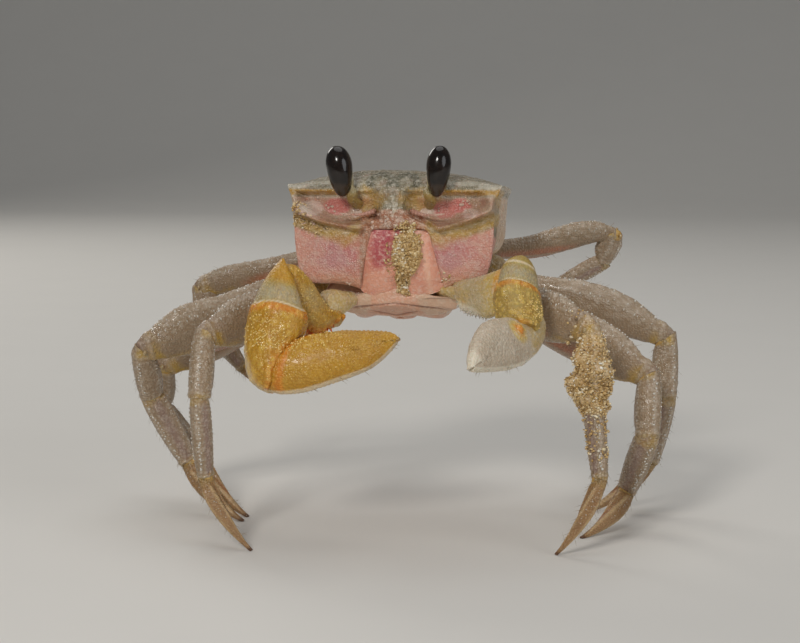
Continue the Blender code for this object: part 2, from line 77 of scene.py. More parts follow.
# The stance of the limbs, the same as that of the solids: hips in the body's frame, the length, height and
# thickness of each piece, and (azimuth, elevation) in degrees of each.
BODY_PITCH = 6.0
BODY_PIVOT = -13.0
BODY_CLEARANCE = 41.0
PIVOT_BEHIND_FRONT = 3.834
TIP_HEIGHT = 0.12
LEG_SIZES = {
    2: ((30.0, 9.2, 4.4), (12.0, 5.0, 3.9), (15.3, 4.1, 3.3), (16.0, 3.1, 2.5)),
    3: ((38.0, 9.8, 4.6), (11.8, 5.4, 4.2), (15.5, 5.1, 3.7), (16.5, 3.6, 2.7)),
    4: ((38.0, 8.8, 4.4), (11.5, 5.4, 4.1), (15.5, 5.1, 3.6), (16.5, 3.5, 2.6)),
    5: ((31.0, 5.3, 3.0), (7.5, 3.7, 2.8), (12.0, 3.4, 2.4), (9.5, 2.3, 1.9)),
}
HIPS = {2: (15.0, -6.0, 6.2), 3: (16.5, 0.0, 7.9), 4: (16.5, 6.0, 9.5), 5: (13.5, 12.0, 14.1)}
STANCE = {
    ("right", 2): ((49, -14), (88, -68), (-116, -84), 160),
    ("right", 3): ((24, -20), (-92, -58), (-160, -62), 158),
    ("right", 4): ((7, -31), (-70, -56), (140, -34), 150),
    ("right", 5): ((0, -16), (-160, -78), (170, -50), (170, -20)),
    ("left", 2): ((40, -11), (75, -80), (62, -78), 166),
    ("left", 3): ((18, -27), (94, -72), (-114, -53), 124),
    ("left", 4): ((3, -20), (95, -87), (-114, -65), 160),
    ("left", 5): ((-19, 5), (-138, -56), (176, -28), (170, -50)),
}
CLAW_SIZES = {
    "right": ((7.5, 5.8, 4.8), (15.5, 7.6, 6.4), (14.8, 10.6, 8.0), (26.0, 11.6, 6.6)),
    "left": ((6.5, 5.4, 4.6), (14.5, 7.4, 6.0), (11.5, 9.8, 7.6), (20.0, 11.0, 5.8)),
}
CLAW_HIP = (8.0, -12.4, 3.2)
CLAW_STANCE = {
    "right": ((62, -20), (42, 32), (86, -70), (178, 7)),
    "left": ((36, 0), (38, 22), (82, -46), (111, -9)),
}
EYE_SPREAD = {"right": 9.2, "left": 8.6}
EYE_LEAN = {"right": 10.0, "left": 2.0}
EYE_FOOT = 23.9
BEND_ROUNDNESS = 2.3  # radius of a bend's outside, against the limb's half height
BEND_PLACES = 32
THIGH_ARCH = {2: 1.0, 3: 1.45, 4: 1.6, 5: 1.7}  # how far the thighs' upper edges swell towards the knee
# Outlines: share along the piece, then its outer and inner edge, in half heights from its axis.
THIGH_OUTLINES = {
    ("left", 5): ((-0.05, -1.0, 1.0), (0.15, -0.6, 1.25), (0.38, -0.55, 1.5), (0.51, -1.0, 1.4),
                  (0.63, -1.4, 1.1),
                  (0.73, -1.55, 0.9), (0.82, -1.68, 0.7), (0.89, -1.69, 0.6), (0.94, -1.45, 0.6),
                  (1.0, -0.9, 0.6), (1.06, -0.3, 0.5)),
    ("left", 4): ((-0.05, -1.0, 1.0), (0.22, -0.65, 1.1), (0.35, -0.9, 1.0), (0.49, -1.2, 0.9),
                  (0.58, -1.33, 0.85), (0.7, -1.34, 0.72),
                  (0.79, -1.25, 0.62), (0.88, -1.06, 0.55), (0.95, -0.88, 0.5), (1.0, -0.7, 0.42),
                  (1.05, -0.3, 0.3)),
    ("right", 5): ((-0.05, -0.9, 1.0), (0.3, -0.7, 1.1), (0.56, -0.81, 1.2), (0.66, -0.98, 1.15),
                   (0.76, -1.14, 1.1),
                   (0.83, -1.2, 1.07), (0.91, -1.15, 1.0), (0.96, -1.0, 0.9), (1.02, -0.68, 0.7),
                   (1.06, -0.2, 0.5)),
    ("right", 3): ((-0.05, -1.0, 1.0), (0.3, -0.85, 1.15), (0.53, -0.9, 1.35), (0.64, -1.08, 1.3),
                   (0.73, -1.17, 1.15),
                   (0.85, -1.1, 0.9), (0.95, -0.84, 0.76), (1.01, -0.5, 0.6), (1.05, -0.2, 0.4)),
}
HIND_KNEE = ((-0.2, -0.7, 1.4), (0.0, -0.9, 1.7), (0.35, -1.17, 1.9), (0.6, -1.2, 1.85),
             (0.74, -1.17, 1.6), (0.9, -0.95, 1.2), (1.05, -0.8, 0.9))
# The right claw's outlines, and its closed finger's line on the hand.
FOOT_OUTLINE = ((-0.12, -0.6, 0.2), (0.3, -1.2, 0.2), (0.6, -1.7, 0.2), (0.85, -1.95, 0.15),
                (1.15, -1.9, 0.0))
ARM_OUTLINE = ((-0.12, -0.36, -0.25), (-0.01, -0.32, 0.15), (0.08, -0.3, 0.75), (0.16, -0.28, 1.15),
               (0.2, -0.3, 1.3), (0.25, -0.36, 1.4),
               (0.4, -0.66, 1.35), (0.56, -0.98, 1.1), (0.76, -1.2, 0.6), (0.88, -1.27, 0.0),
               (0.93, -1.1, -0.4), (0.95, -0.95, -0.6))
WRIST_OUTLINE = ((-0.26, 0.26, 0.44), (-0.09, -0.13, 0.72), (0.07, -0.38, 0.92),
                 (0.25, -0.58, 1.12), (0.48, -0.75, 1.3), (0.68, -0.82, 1.34),
                 (0.84, -0.83, 0.95), (1.0, -0.79, 0.66), (1.22, -0.67, 0.5), (1.33, -0.55, 0.45),
                 (1.4, -0.25, 0.4), (1.43, 0.05, 0.25))
HAND_OUTLINE = ((-0.12, -0.8, 0.0), (-0.05, -1.04, 0.1), (0.04, -1.18, 0.25), (0.15, -1.23, 0.45),
                (0.26, -1.21, 0.57), (0.4, -1.09, 0.63),
                (0.56, -0.92, 0.62), (0.66, -0.82, 0.57), (0.74, -0.7, 0.53), (0.82, -0.47, 0.48),
                (0.88, -0.23, 0.43), (0.92, -0.06, 0.38), (0.945, 0.06, 0.28), (0.955, 0.12, 0.2))
HAND_BASE = ((-0.9, -0.18, 0.35, 0.57), (0.06, 0.11, 0.16, 0.31))
SMALL_ARM_OUTLINE = ((-0.17, -1.5, -1.3), (-0.1, -1.45, -0.7), (0.03, -1.36, 0.2),
                     (0.26, -1.2, 0.8), (0.5, -1.0, 1.4), (0.75, -0.9, 1.3),
                     (1.0, -0.9, 0.9), (1.15, -0.5, 0.5))
SMALL_HAND_OUTLINE = ((-0.44, -0.1, 0.1), (-0.42, -0.28, 0.2), (-0.36, -0.47, 0.26),
                      (-0.22, -0.74, 0.36), (-0.01, -0.91, 0.53), (0.2, -0.92, 0.76),
                      (0.46, -0.83, 0.94), (0.66, -0.68, 0.82), (0.85, -0.48, 0.6),
                      (1.0, -0.31, 0.28), (1.08, -0.18, 0.05), (1.11, -0.1, -0.04))
FOOT_TUCK = (0.2, 1.7, 2.1)  # how far the left claw's foot is moved in under the body
LEFT_CONDYLE = Vector((24.2, -25.9, 42.3))  # the hinge knob on the front of the left wrist
JAW_LINES = {"right": ((0.5, 0.95), (-0.02, 0.13)), "left": ((0.5, 1.1), (0.12, -0.08))}
TOE_BOW = 0.075  # how far a toe bows out, as a share of its length
LEG_PARTS = ("thigh", "knee", "shank", "toe")
CLAW_PARTS = ("foot", "arm", "wrist", "hand")


def body_frame():
    """From the body's own frame to the row's, both in millimetres."""
    low, high = (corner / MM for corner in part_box("carapace"))
    pivot = Vector(((low.x + high.x) / 2.0, low.y + PIVOT_BEHIND_FRONT, BODY_CLEARANCE))
    turn = Matrix.Rotation(-math.radians(BODY_PITCH), 4, "X")
    return Matrix.Translation(pivot) @ turn @ Matrix.Translation((0.0, -BODY_PIVOT, 0.0))


BODY = body_frame()


# Fields over a surface -----------------------------------------------------------------------------


def smooth(low, high, value):
    """0 below low, 1 above high, and a soft step between."""
    t = np.clip((value - low) / (high - low), 0.0, 1.0)
    return t * t * (3.0 - 2.0 * t)


def hump(value, middle, width):
    """1 at the middle and falling softly to nothing about twice the width away."""
    return np.exp(-(((value - middle) / width) ** 2))


def fade(low, high, value):
    """1 below low, 0 above high, and a soft step between."""
    return 1.0 - smooth(low, high, value)


def wave(place, pitch):
    """From 1 to -1 and back once in each pitch."""
    return np.cos(2.0 * math.pi * place / pitch)


def hashed(cells, seed):
    """A number from 0 to 1 for each whole-number place, always the same for that place and seed."""
    cells = cells.astype(np.uint64)
    mixed = cells[:, 0] * np.uint64(73856093) ^ cells[:, 1] * np.uint64(19349663)
    mixed ^= cells[:, 2] * np.uint64(83492791) ^ np.uint64(seed * 2654435761 % 4294967291)
    mixed &= np.uint64(0xFFFFFFFF)
    for shift, factor in ((15, 2246822519), (13, 3266489917)):
        mixed = (mixed ^ (mixed >> np.uint64(shift))) * np.uint64(factor) & np.uint64(0xFFFFFFFF)
    return (mixed ^ (mixed >> np.uint64(16))).astype(np.float64) / 4294967295.0


def ripple(points, size, seed):
    """Soft noise from 0 to 1, its lumps about this size across."""
    scaled = points / size + 512.0
    cell = np.floor(scaled).astype(np.int64)
    part = scaled - cell
    part = part * part * (3.0 - 2.0 * part)
    total = np.zeros(len(points))
    for step in itertools.product((0, 1), repeat=3):
        weight = np.prod([part[:, k] if step[k] else 1.0 - part[:, k] for k in range(3)], axis=0)
        total += weight * hashed(cell + np.array(step), seed)
    return total


def pearls(points, spacing, reach, seed, share=1.0):
    """Round beads strewn over a surface: 1 on top of each and 0 beyond its reach, which is a share of spacing."""
    scaled = points / spacing + 512.0
    cell = np.floor(scaled).astype(np.int64)
    best = np.zeros(len(points))
    for step in itertools.product((-1, 0, 1), repeat=3):
        near = cell + np.array(step)
        middle = near + 0.5
        for k in range(3):
            middle[:, k] += 0.7 * (hashed(near, seed + 11 * k + 1) - 0.5)
        size = reach * (0.7 + 0.5 * hashed(near, seed + 47))
        size *= hashed(near, seed + 91) < share
        away = np.sum((scaled - middle) ** 2, axis=1) / np.maximum(size, 1e-6) ** 2
        best = np.maximum(best, 1.0 - away)
    return np.sqrt(np.clip(best, 0.0, 1.0))


def beads(place, pitch, off, width):
    """A row of beads along a line: place runs along it and off is how far to its side a point is."""
    swell = 0.5 + 0.5 * wave(place, pitch)
    return hump(off, 0.0, width) * swell


# Rounded skins over the solids ---------------------------------------------------------------------


def mesh_of(name, bm):
    """A mesh from a bmesh, which is used up."""
    mesh = bpy.data.meshes.new(name)
    bm.to_mesh(mesh)
    bm.free()
    return mesh


def in_scene(name, data):
    """A new object in the scene for a mesh, a lamp or a camera."""
    made = bpy.data.objects.new(name, data)
    bpy.context.scene.collection.objects.link(made)
    return made


def read_vertices(mesh, what):
    """One row of three for each of a mesh's vertices."""
    flat = np.empty(len(mesh.vertices) * 3, np.float32)
    mesh.vertices.foreach_get(what, flat)
    return flat.reshape(-1, 3).astype(np.float64)


def points_of(mesh):
    """The vertices' places, in millimetres."""
    return read_vertices(mesh, "co") / MM


def normals_of(mesh):
    """The vertices' normals."""
    return read_vertices(mesh, "normal")


def set_points(mesh, points):
    """Puts a mesh's vertices at places in millimetres."""
    mesh.vertices.foreach_set("co", (points * MM).astype(np.float32).ravel())
    mesh.update()


def cage_of(node, soft_angle, crispness):
    """A merged copy of a solid's mesh in quads, with the edges sharper than soft_angle held by a crease."""
    bm = bmesh.new()
    bm.from_mesh(frame["nodes"][node].data)
    bmesh.ops.remove_doubles(bm, verts=bm.verts, dist=1e-6)
    bmesh.ops.join_triangles(bm, faces=bm.faces, angle_face_threshold=math.radians(60.0),
                             angle_shape_threshold=math.radians(180.0))
    crease = bm.edges.layers.float.get("crease_edge") or bm.edges.layers.float.new("crease_edge")
    for edge in bm.edges:
        angle = math.degrees(edge.calc_face_angle(0.0))
        edge[crease] = crispness * min(max((angle - soft_angle) / 45.0, 0.0), 1.0)
        if all(vert.co.z < 0.01 * MM for vert in edge.verts):
            edge[crease] = 1.0
    return bm


def rounded(name, bm, level):
    """The cage as a fine smooth skin. The cage's corners are pushed out first, so that the skin keeps its reach."""
    mesh = mesh_of(name, bm)
    shape = in_scene(name, mesh)
    finer = shape.modifiers.new("finer", "SUBSURF")
    finer.levels = finer.render_levels = 1
    goal = points_of(mesh)
    for _ in range(2):
        bpy.context.view_layer.update()
        graph = bpy.context.evaluated_depsgraph_get()
        reached = points_of(shape.evaluated_get(graph).data)[: len(goal)]
        set_points(mesh, points_of(mesh) + 0.9 * (goal - reached))
    finer.levels = finer.render_levels = max(level - COARSER, 1)
    bpy.context.view_layer.update()
    graph = bpy.context.evaluated_depsgraph_get()
    fine = bpy.data.meshes.new_from_object(shape.evaluated_get(graph))
    shape.modifiers.clear()
    shape.data = fine
    bpy.data.meshes.remove(mesh)
    return shape


def sand_lumps(points):
    """How thick a mass of sand is in one place against another."""
    return 0.15 + 2.3 * np.maximum(ripple(points, 2.4, 61) - 0.3, 0.0) + 0.3 * pearls(points, 0.9, 0.55, 63)


USUAL_MARKS = ("bead", "joint", "edge", "tint", "pale", "sandy")  # those that every limb finish reads
SKINS = {}  # the finished skins, by node


class Skin:
    """One solid's dressed piece while it is being worked: where its points are and how far each is to be raised."""

    def __init__(self, node, label, level, soft_angle=38.0, crispness=0.6):
        self.node = node
        self.thing = rounded(f"{node}_{label}", cage_of(node, soft_angle, crispness), level)
        self.points = points_of(self.thing.data)
        self.normals = normals_of(self.thing.data)
        self.rise = np.zeros(len(self.points))
        self.marks = {}

    def in_body(self):
        """The points in the body's own frame."""
        back = np.array(BODY.inverted())
        return self.points @ back[:3, :3].T + back[:3, 3]

    def facing(self):
        """The normals in the body's own frame."""
        back = np.array(BODY.inverted())
        return self.normals @ back[:3, :3].T

    def move(self, offset):
        """Moves the points themselves, before anything is raised on them."""
        self.points = self.points + offset
        set_points(self.thing.data, self.points)
        self.normals = normals_of(self.thing.data)

    def move_in_body(self, dx=0.0, dy=0.0, dz=0.0):
        """The same, by distances along the body's own x, y and z."""
        turn = np.array(BODY)[:3, :3]
        self.move(np.stack(np.broadcast_arrays(dx, dy, dz, self.points[:, 0])[:3], axis=1) @ turn.T)

    def lift(self, amount):
        """Raises the skin by amount, in millimetres."""
        self.rise += amount

    def note(self, mark, value):
        """Notes where a colour or a gloss belongs, from 0 to 1, for the material to read."""
        self.marks[mark] = np.clip(value, 0.0, 1.0)

    def soften(self, weight, rounds=12):
        """Wears the skin smooth where weight is high."""
        mesh = self.thing.data
        ends = np.empty(len(mesh.edges) * 2, np.int32)
        mesh.edges.foreach_get("vertices", ends)
        ends = ends.reshape(-1, 2)
        count = np.maximum(np.bincount(ends.ravel(), minlength=len(self.points)), 1)[:, None]
        points = self.points
        for _ in range(rounds):
            total = np.zeros_like(points)
            np.add.at(total, ends[:, 0], points[ends[:, 1]])
            np.add.at(total, ends[:, 1], points[ends[:, 0]])
            points = points + 0.6 * weight[:, None] * (total / count - points)
        self.move(points - self.points)

    def close(self, finish, slot):
        """Moves the points, writes the notes for the material to read, and puts the piece on the frame."""
        mesh = self.thing.data
        self.points = self.points + self.normals * self.rise[:, None]
        self.points[:, 2] = np.maximum(self.points[:, 2], 0.0)
        set_points(mesh, self.points)
        self.normals = normals_of(mesh)
        unmarked = np.zeros(len(self.points))
        for mark, value in {**{mark: unmarked for mark in USUAL_MARKS}, **self.marks}.items():
            layer = mesh.attributes.new(mark, "FLOAT", "POINT")
            layer.data.foreach_set("value", value.astype(np.float32))
        mesh.shade_smooth()
        mesh.materials.clear()
        mesh.materials.append(finish)
        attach(self.thing, "root")
        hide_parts(self.node)
        SKINS[self.node] = self


# Limbs: where their pieces run ---------------------------------------------------------------------


def heading(side, azimuth, elevation):
    """The course of a piece from its two angles in degrees."""
    a = math.radians(azimuth)
    e = math.radians(elevation)
    return Vector((side * math.cos(e) * math.cos(a), -math.cos(e) * math.sin(a), math.sin(e)))


class Piece:
    """The axis of one piece of a limb, and the directions across it."""

    def __init__(self, start, end, across, height, thickness):
        self.start = start
        self.end = end
        self.length = (end - start).length
        self.course = (end - start).normalized()
        self.up = across.cross(self.course).normalized()
        self.side = self.course.cross(self.up).normalized()
        self.height = height
        self.thickness = thickness

    def read(self, skin):
        """(share along, height above the axis, distance beside it), the last two as shares of the half sizes."""
        away = skin.points - np.array(self.start)
        along = away @ np.array(self.course) / self.length
        over = away @ np.array(self.up) / (self.height / 2.0)
        beside = away @ np.array(self.side) / (self.thickness / 2.0)
        return along, over, beside

    def shift(self, along=0.0, up=0.0, side=0.0):
        """Moves of these lengths along the piece and across it."""
        return np.outer(along, self.course) + np.outer(up, self.up) + np.outer(side, self.side)


def limb(side_name, number):
    """The pieces of a leg, or of the claw where number is 1."""
    side = SIDES[side_name]
    if number == 1:
        hip, sizes, stance = CLAW_HIP, CLAW_SIZES[side_name], CLAW_STANCE[side_name]
    else:
        hip, sizes, stance = HIPS[number], LEG_SIZES[number], STANCE[side_name, number]
    joints = [BODY @ Vector((side * hip[0], hip[1], hip[2]))]
    for angles, (length, _, _) in zip(stance, sizes):
        if isinstance(angles, tuple):
            course = heading(side, *angles)
        else:
            drop = math.asin(min((joints[-1].z - TIP_HEIGHT) / length, 1.0))
            course = heading(side, angles, -math.degrees(drop))
        joints.append(joints[-1] + course * length)
    courses = [(b - a).normalized() for a, b in zip(joints, joints[1:])]
    if number == 1:
        arm_across = courses[1].cross(courses[2]).normalized()
        across = courses[2].cross(courses[3]).normalized()
        turns = (arm_across, arm_across, across, across)
    else:
        lower = (courses[1] + courses[2]).normalized()
        turns = (courses[0].cross(lower).normalized(),) * 4
    return [Piece(joints[k], joints[k + 1], turns[k], sizes[k][1], sizes[k][2]) for k in range(4)]


LIMBS = {(side_name, number): limb(side_name, number) for side_name in SIDES for number in range(1, 6)}


def tuck(skin, piece, depth=0.55, slimmer=0.05):
    """Runs a piece's start on into the end of the one before it."""
    along, over_axis, beside = piece.read(skin)
    start = fade(0.6 / piece.length, 1.8 / piece.length, along)
    across = over_axis[:, None] * piece.height / 2.0 * np.array(piece.up) \
        + beside[:, None] * piece.thickness / 2.0 * np.array(piece.side)
    skin.move(start[:, None] * (-depth * np.array(piece.course) - slimmer * across))


def fitted(skin, piece, outline, start=None, end=None):
    """Draws a skin out to an outline: at each share along its piece, where its two edges are."""
    spots, lows, highs = (np.array(column) for column in zip(*outline))
    along, over_axis, beside = piece.read(skin)
    new_along = along.copy()
    for limits, outermost in ((start, along.min()), (end, along.max())):
        if limits is not None:
            held, reach = limits
            past = (along - held) / (outermost - held)
            new_along = np.where(past > 0.0, held + past * (reach - held), new_along)
    order = np.sort(along)
    window = max(1.15 * float(np.max(np.diff(order))), np.ptp(along) / 34.0)
    middles = np.linspace(order[0], order[-1], 49)
    windows = (over_axis[np.abs(along - middle) <= window] for middle in middles)
    now = np.array([(near.min(), near.max()) for near in windows])
    for _ in range(2):
        now[1:-1] = (now[:-2] + 2.0 * now[1:-1] + now[2:]) / 4.0
    now_low, now_high = np.interp(along, middles, now[:, 0]), np.interp(along, middles, now[:, 1])
    even = np.linspace(spots[0], spots[-1], 61)
    wanted = []
    for edge in (lows, highs):
        line = np.interp(even, spots, edge)
        for _ in range(6):
            line[1:-1] = (line[:-2] + 2.0 * line[1:-1] + line[2:]) / 4.0
        wanted.append(np.interp(new_along, even, line))
    half_now = np.maximum((now_high - now_low) / 2.0, 0.06)
    ratio = np.clip((wanted[1] - wanted[0]) / 2.0 / half_now, 0.2, 3.0)
    new_over = (wanted[0] + wanted[1]) / 2.0 + (over_axis - (now_low + now_high) / 2.0) * ratio
    skin.move(piece.shift((new_along - along) * piece.length,
                          (new_over - over_axis) * piece.height / 2.0,
                          beside * (np.clip(ratio, 0.5, 1.0) - 1.0) * piece.thickness / 4.0))


def edge_of(outline, along, which):
    """Where one edge of an outline is (1 the lower, 2 the upper) at shares along its piece."""
    columns = list(zip(*outline))
    return np.interp(along, columns[0], columns[which])


def round_bend(near_skin, far_skin, near, far):
    """Trims the outside corner of a bent joint to an arc that runs on from one piece to the next."""
    half_bend = near.course.angle(far.course) / 2.0
    if half_bend < 0.08:
        return
    joint = np.array(near.end)
    out = np.array((near.course - far.course).normalized())
    ahead = np.array((near.course + far.course).normalized())
    reach = 0.0
    for skin, course, sign in ((near_skin, near.course, -1.0), (far_skin, far.course, 1.0)):
        edge = (Vector(out) - course * Vector(out).dot(course)).normalized()
        away = skin.points - joint
        close = np.abs(away @ np.array(course) * sign - 2.2) < 1.0
        reach += 0.5 * float(np.max(away[close] @ np.array(edge)))
    radius = BEND_ROUNDNESS * reach
    centre = joint - out * (radius - reach) / math.cos(half_bend)
    turns, distances, rays = [], [], []
    for skin in (near_skin, far_skin):
        away = skin.points - centre
        flat = np.stack([away @ out, away @ ahead], axis=1)
        distances.append(np.linalg.norm(flat, axis=1))
        turns.append(np.arctan2(flat[:, 1], flat[:, 0]))
        rays.append(flat / np.maximum(distances[-1], 1e-6)[:, None])
    widest = half_bend + 0.55
    places = np.linspace(-widest, widest, BEND_PLACES + 1)
    reached = np.full(len(places), radius)
    for turn, distance in zip(turns, distances):
        slot = np.round((turn + widest) / (2.0 * widest) * float(BEND_PLACES)).astype(int)
        held = (slot >= 0) & (slot <= BEND_PLACES)
        np.maximum.at(reached, slot[held], distance[held])
    for skin, turn, distance, ray in zip((near_skin, far_skin), turns, distances, rays):
        outermost = np.interp(turn, places, reached)
        ease = fade(0.5 * half_bend, widest, np.abs(turn))
        inward = np.maximum(outermost - radius, 0.0) * ease * smooth(0.3, 1.0, distance / outermost)
        skin.move(-inward[:, None] * (ray[:, :1] * out + ray[:, 1:] * ahead))


# Finishes ------------------------------------------------------------------------------------------


def paint(text):
    """A colour written as RRGGBB, as the shaders' own values."""
    parts = [int(text[k : k + 2], 16) / 255.0 for k in (0, 2, 4)]
    return [p / 12.92 if p <= 0.04045 else ((p + 0.055) / 1.055) ** 2.4 for p in parts] + [1.0]


def wire(tree, socket, source):
    """Sets a socket from a number or a colour, or links it to another socket."""
    if isinstance(source, bpy.types.NodeSocket):
        tree.links.new(source, socket)
    elif isinstance(source, str):
        socket.default_value = paint(source)
    else:
        socket.default_value = source


def add(tree, kind, settings=None, **sources):
    """A node with its settings, and its inputs set by name with spaces written as _."""
    made = tree.nodes.new(kind)
    for name, value in (settings or {}).items():
        setattr(made, name, value)
    for name, source in sources.items():
        wire(tree, made.inputs[name.replace("_", " ")], source)
    return made


def sums(tree, operation, first, second=0.0, third=0.0, clamp=False):
    """The output of a Math node."""
    made = tree.nodes.new("ShaderNodeMath")
    made.operation = operation
    made.use_clamp = clamp
    for socket, source in zip(made.inputs, (first, second, third)):
        wire(tree, socket, source)
    return made.outputs[0]


def over(tree, below, above, share):
    """A colour laid over another, as strongly as share says."""
    made = add(tree, "ShaderNodeMix", {"data_type": "RGBA", "clamp_factor": True})
    wire(tree, made.inputs[0], share)
    wire(tree, made.inputs[6], below)
    wire(tree, made.inputs[7], above)
    return made.outputs[2]


def new_group(name, inputs, outputs):
    """A shader node group with number inputs, given as name: usual value, and outputs given as names."""
    group = bpy.data.node_groups.new(name, "ShaderNodeTree")
    sockets = group.interface
    place = sockets.new_socket(name="Place", in_out="INPUT", socket_type="NodeSocketVector")
    place.default_value = (0.0, 0.0, 0.0)
    for label, value in inputs.items():
        made = sockets.new_socket(name=label, in_out="INPUT", socket_type="NodeSocketFloat")
        made.default_value = value
    for label in outputs:
        sockets.new_socket(name=label, in_out="OUTPUT", socket_type="NodeSocketFloat")
    return group, group.nodes.new("NodeGroupInput").outputs, group.nodes.new("NodeGroupOutput").inputs


def ranged(tree, value, low, high):
    """A value spread from 0 at low to 1 at high."""
    return add(tree, "ShaderNodeMapRange", Value=value, From_Min=low, From_Max=high).outputs[0]


def mottle_group():
    """Broad clouds and small freckles, each from 0 to 1."""
    tree, given, put = new_group("shell_mottle", {"Size": 200.0, "Freckle Size": 1400.0},
                                 ("Clouds", "Freckles"))
    clouds = add(tree, "ShaderNodeTexNoise", Vector=given["Place"], Scale=given["Size"], Detail=5.0,
                 Roughness=0.62)
    spots = add(tree, "ShaderNodeTexNoise", Vector=given["Place"], Scale=given["Freckle Size"],
                Detail=2.0, Roughness=0.5)
    wire(tree, put["Clouds"], ranged(tree, clouds.outputs["Fac"], 0.34, 0.66))
    wire(tree, put["Freckles"], ranged(tree, spots.outputs["Fac"], 0.5, 0.68))
    return tree


def granule_group():
    """Close-set grains of the shell's surface: a mask of their tops, and their height for a bump."""
    tree, given, put = new_group("shell_granules", {"Size": 2200.0, "Roundness": 1.0},
                                 ("Tops", "Height"))
    cells = add(tree, "ShaderNodeTexVoronoi", Vector=given["Place"], Scale=given["Size"],
                Randomness=0.8)
    away = sums(tree, "MULTIPLY", cells.outputs["Distance"], 1.55)
    top = sums(tree, "SUBTRACT", 1.0, away, clamp=True)
    wire(tree, put["Tops"], ranged(tree, top, 0.45, 0.85))
    fine = add(tree, "ShaderNodeTexNoise", Vector=given["Place"], Scale=5200.0, Detail=2.0)
    rough = sums(tree, "MULTIPLY", fine.outputs["Fac"], 0.25)
    domed = sums(tree, "MULTIPLY", sums(tree, "POWER", top, 0.6), given["Roundness"])
    wire(tree, put["Height"], sums(tree, "ADD", domed, rough))
    return tree


def film_group():
    """The damp film on the shell, as a roughness that wanders between a wet and a dry value."""
    tree, given, put = new_group("damp_film", {"Wet": 0.22, "Dry": 0.5, "Size": 260.0},
                                 ("Roughness",))
    patches = add(tree, "ShaderNodeTexNoise", Vector=given["Place"], Scale=given["Size"], Detail=4.0)
    share = ranged(tree, patches.outputs["Fac"], 0.38, 0.62)
    spread = sums(tree, "SUBTRACT", given["Dry"], given["Wet"])
    wire(tree, put["Roughness"], sums(tree, "MULTIPLY_ADD", share, spread, given["Wet"]))
    return tree


def zone_group():
    """A noted zone with an edge that wanders: Share is how far in it a point is."""
    usual = {"Zone": 0.0, "Raggedness": 0.5, "Size": 700.0, "Softness": 0.35}
    tree, given, put = new_group("ragged_zone", usual, ("Share",))
    edge = add(tree, "ShaderNodeTexNoise", Vector=given["Place"], Scale=given["Size"], Detail=4.0,
               Roughness=0.6)
    wander = sums(tree, "MULTIPLY", sums(tree, "SUBTRACT", edge.outputs["Fac"], 0.5), given["Raggedness"])
    value = sums(tree, "ADD", given["Zone"], sums(tree, "MULTIPLY", wander, 2.0))
    low = sums(tree, "SUBTRACT", 0.5, given["Softness"])
    high = sums(tree, "ADD", 0.5, given["Softness"])
    inside = add(tree, "ShaderNodeMapRange", {"interpolation_type": "SMOOTHSTEP"}, Value=value,
                 From_Min=low, From_Max=high)
    wire(tree, put["Share"], inside.outputs[0])
    return tree


MOTTLE = mottle_group()
GRANULES = granule_group()
FILM = film_group()
ZONE = zone_group()


class Finish:
    """A material in the making: the Principled shader, Object coordinates, and the layers laid on the colour."""

    def __init__(self, name, colour, constants):
        self.made = bpy.data.materials.new(name)
        self.made.use_nodes = True
        self.tree = self.made.node_tree
        self.shader = self.tree.nodes["Principled BSDF"]
        for label, value in constants.items():
            self.shader.inputs[label].default_value = value
        self.place = self.tree.nodes.new("ShaderNodeTexCoord").outputs["Object"]
        start = add(self.tree, "ShaderNodeRGB")
        start.outputs[0].default_value = paint(colour)
        self.colour = start.outputs[0]
        self.heights = []

    def group(self, tree, **values):
        """The outputs of one of the shared groups, on Object coordinates."""
        made = self.tree.nodes.new("ShaderNodeGroup")
        made.node_tree = tree
        wire(self.tree, made.inputs["Place"], self.place)
        for name, value in values.items():
            wire(self.tree, made.inputs[name.replace("_", " ")], value)
        return made.outputs

    def mottle(self, size, freckle_size):
        return self.group(MOTTLE, Size=size, Freckle_Size=freckle_size)

    def grains(self, size):
        return self.group(GRANULES, Size=size, Roundness=1.0)

    def damp(self, wet, dry, size, polish=None):
        """Takes the roughness from the damp film, and from polish, which is lower on glossier places."""
        rough = self.group(FILM, Wet=wet, Dry=dry, Size=size)["Roughness"]
        if polish is not None:
            rough = sums(self.tree, "MULTIPLY", rough, polish)
        wire(self.tree, self.shader.inputs["Roughness"], rough)

    def mark(self, name):
        """What the skins were noted with under this name."""
        return add(self.tree, "ShaderNodeAttribute", {"attribute_name": name}).outputs["Fac"]

    def lay(self, colour, mask, strength):
        """Lays a colour over what is there."""
        self.colour = over(self.tree, self.colour, colour, sums(self.tree, "MULTIPLY", mask, strength))

    def zones(self, *rows):
        """Lays colours where the skin was noted, given as (colour, mark, strength, raggedness, size of
        the rags, softness)."""
        for colour, mark, strength, raggedness, size, softness in rows:
            share = self.group(ZONE, Zone=self.mark(mark), Raggedness=raggedness, Size=size,
                               Softness=softness)
            self.lay(colour, share["Share"], strength)

    def raise_by(self, height, distance, strength):
        """Adds a height, whose full rise is distance in metres, to the surface's bump."""
        self.heights.append((height, distance, strength))

    def close(self):
        """Joins the colour and the bumps to the shader, and gives the material."""
        wire(self.tree, self.shader.inputs["Base Color"], self.colour)
        normal = None
        for height, distance, strength in self.heights:
            bump = add(self.tree, "ShaderNodeBump", Height=height, Distance=distance, Strength=strength)
            if normal:
                wire(self.tree, bump.inputs["Normal"], normal)
            normal = bump.outputs["Normal"]
        if normal:
            wire(self.tree, self.shader.inputs["Normal"], normal)
        return self.made


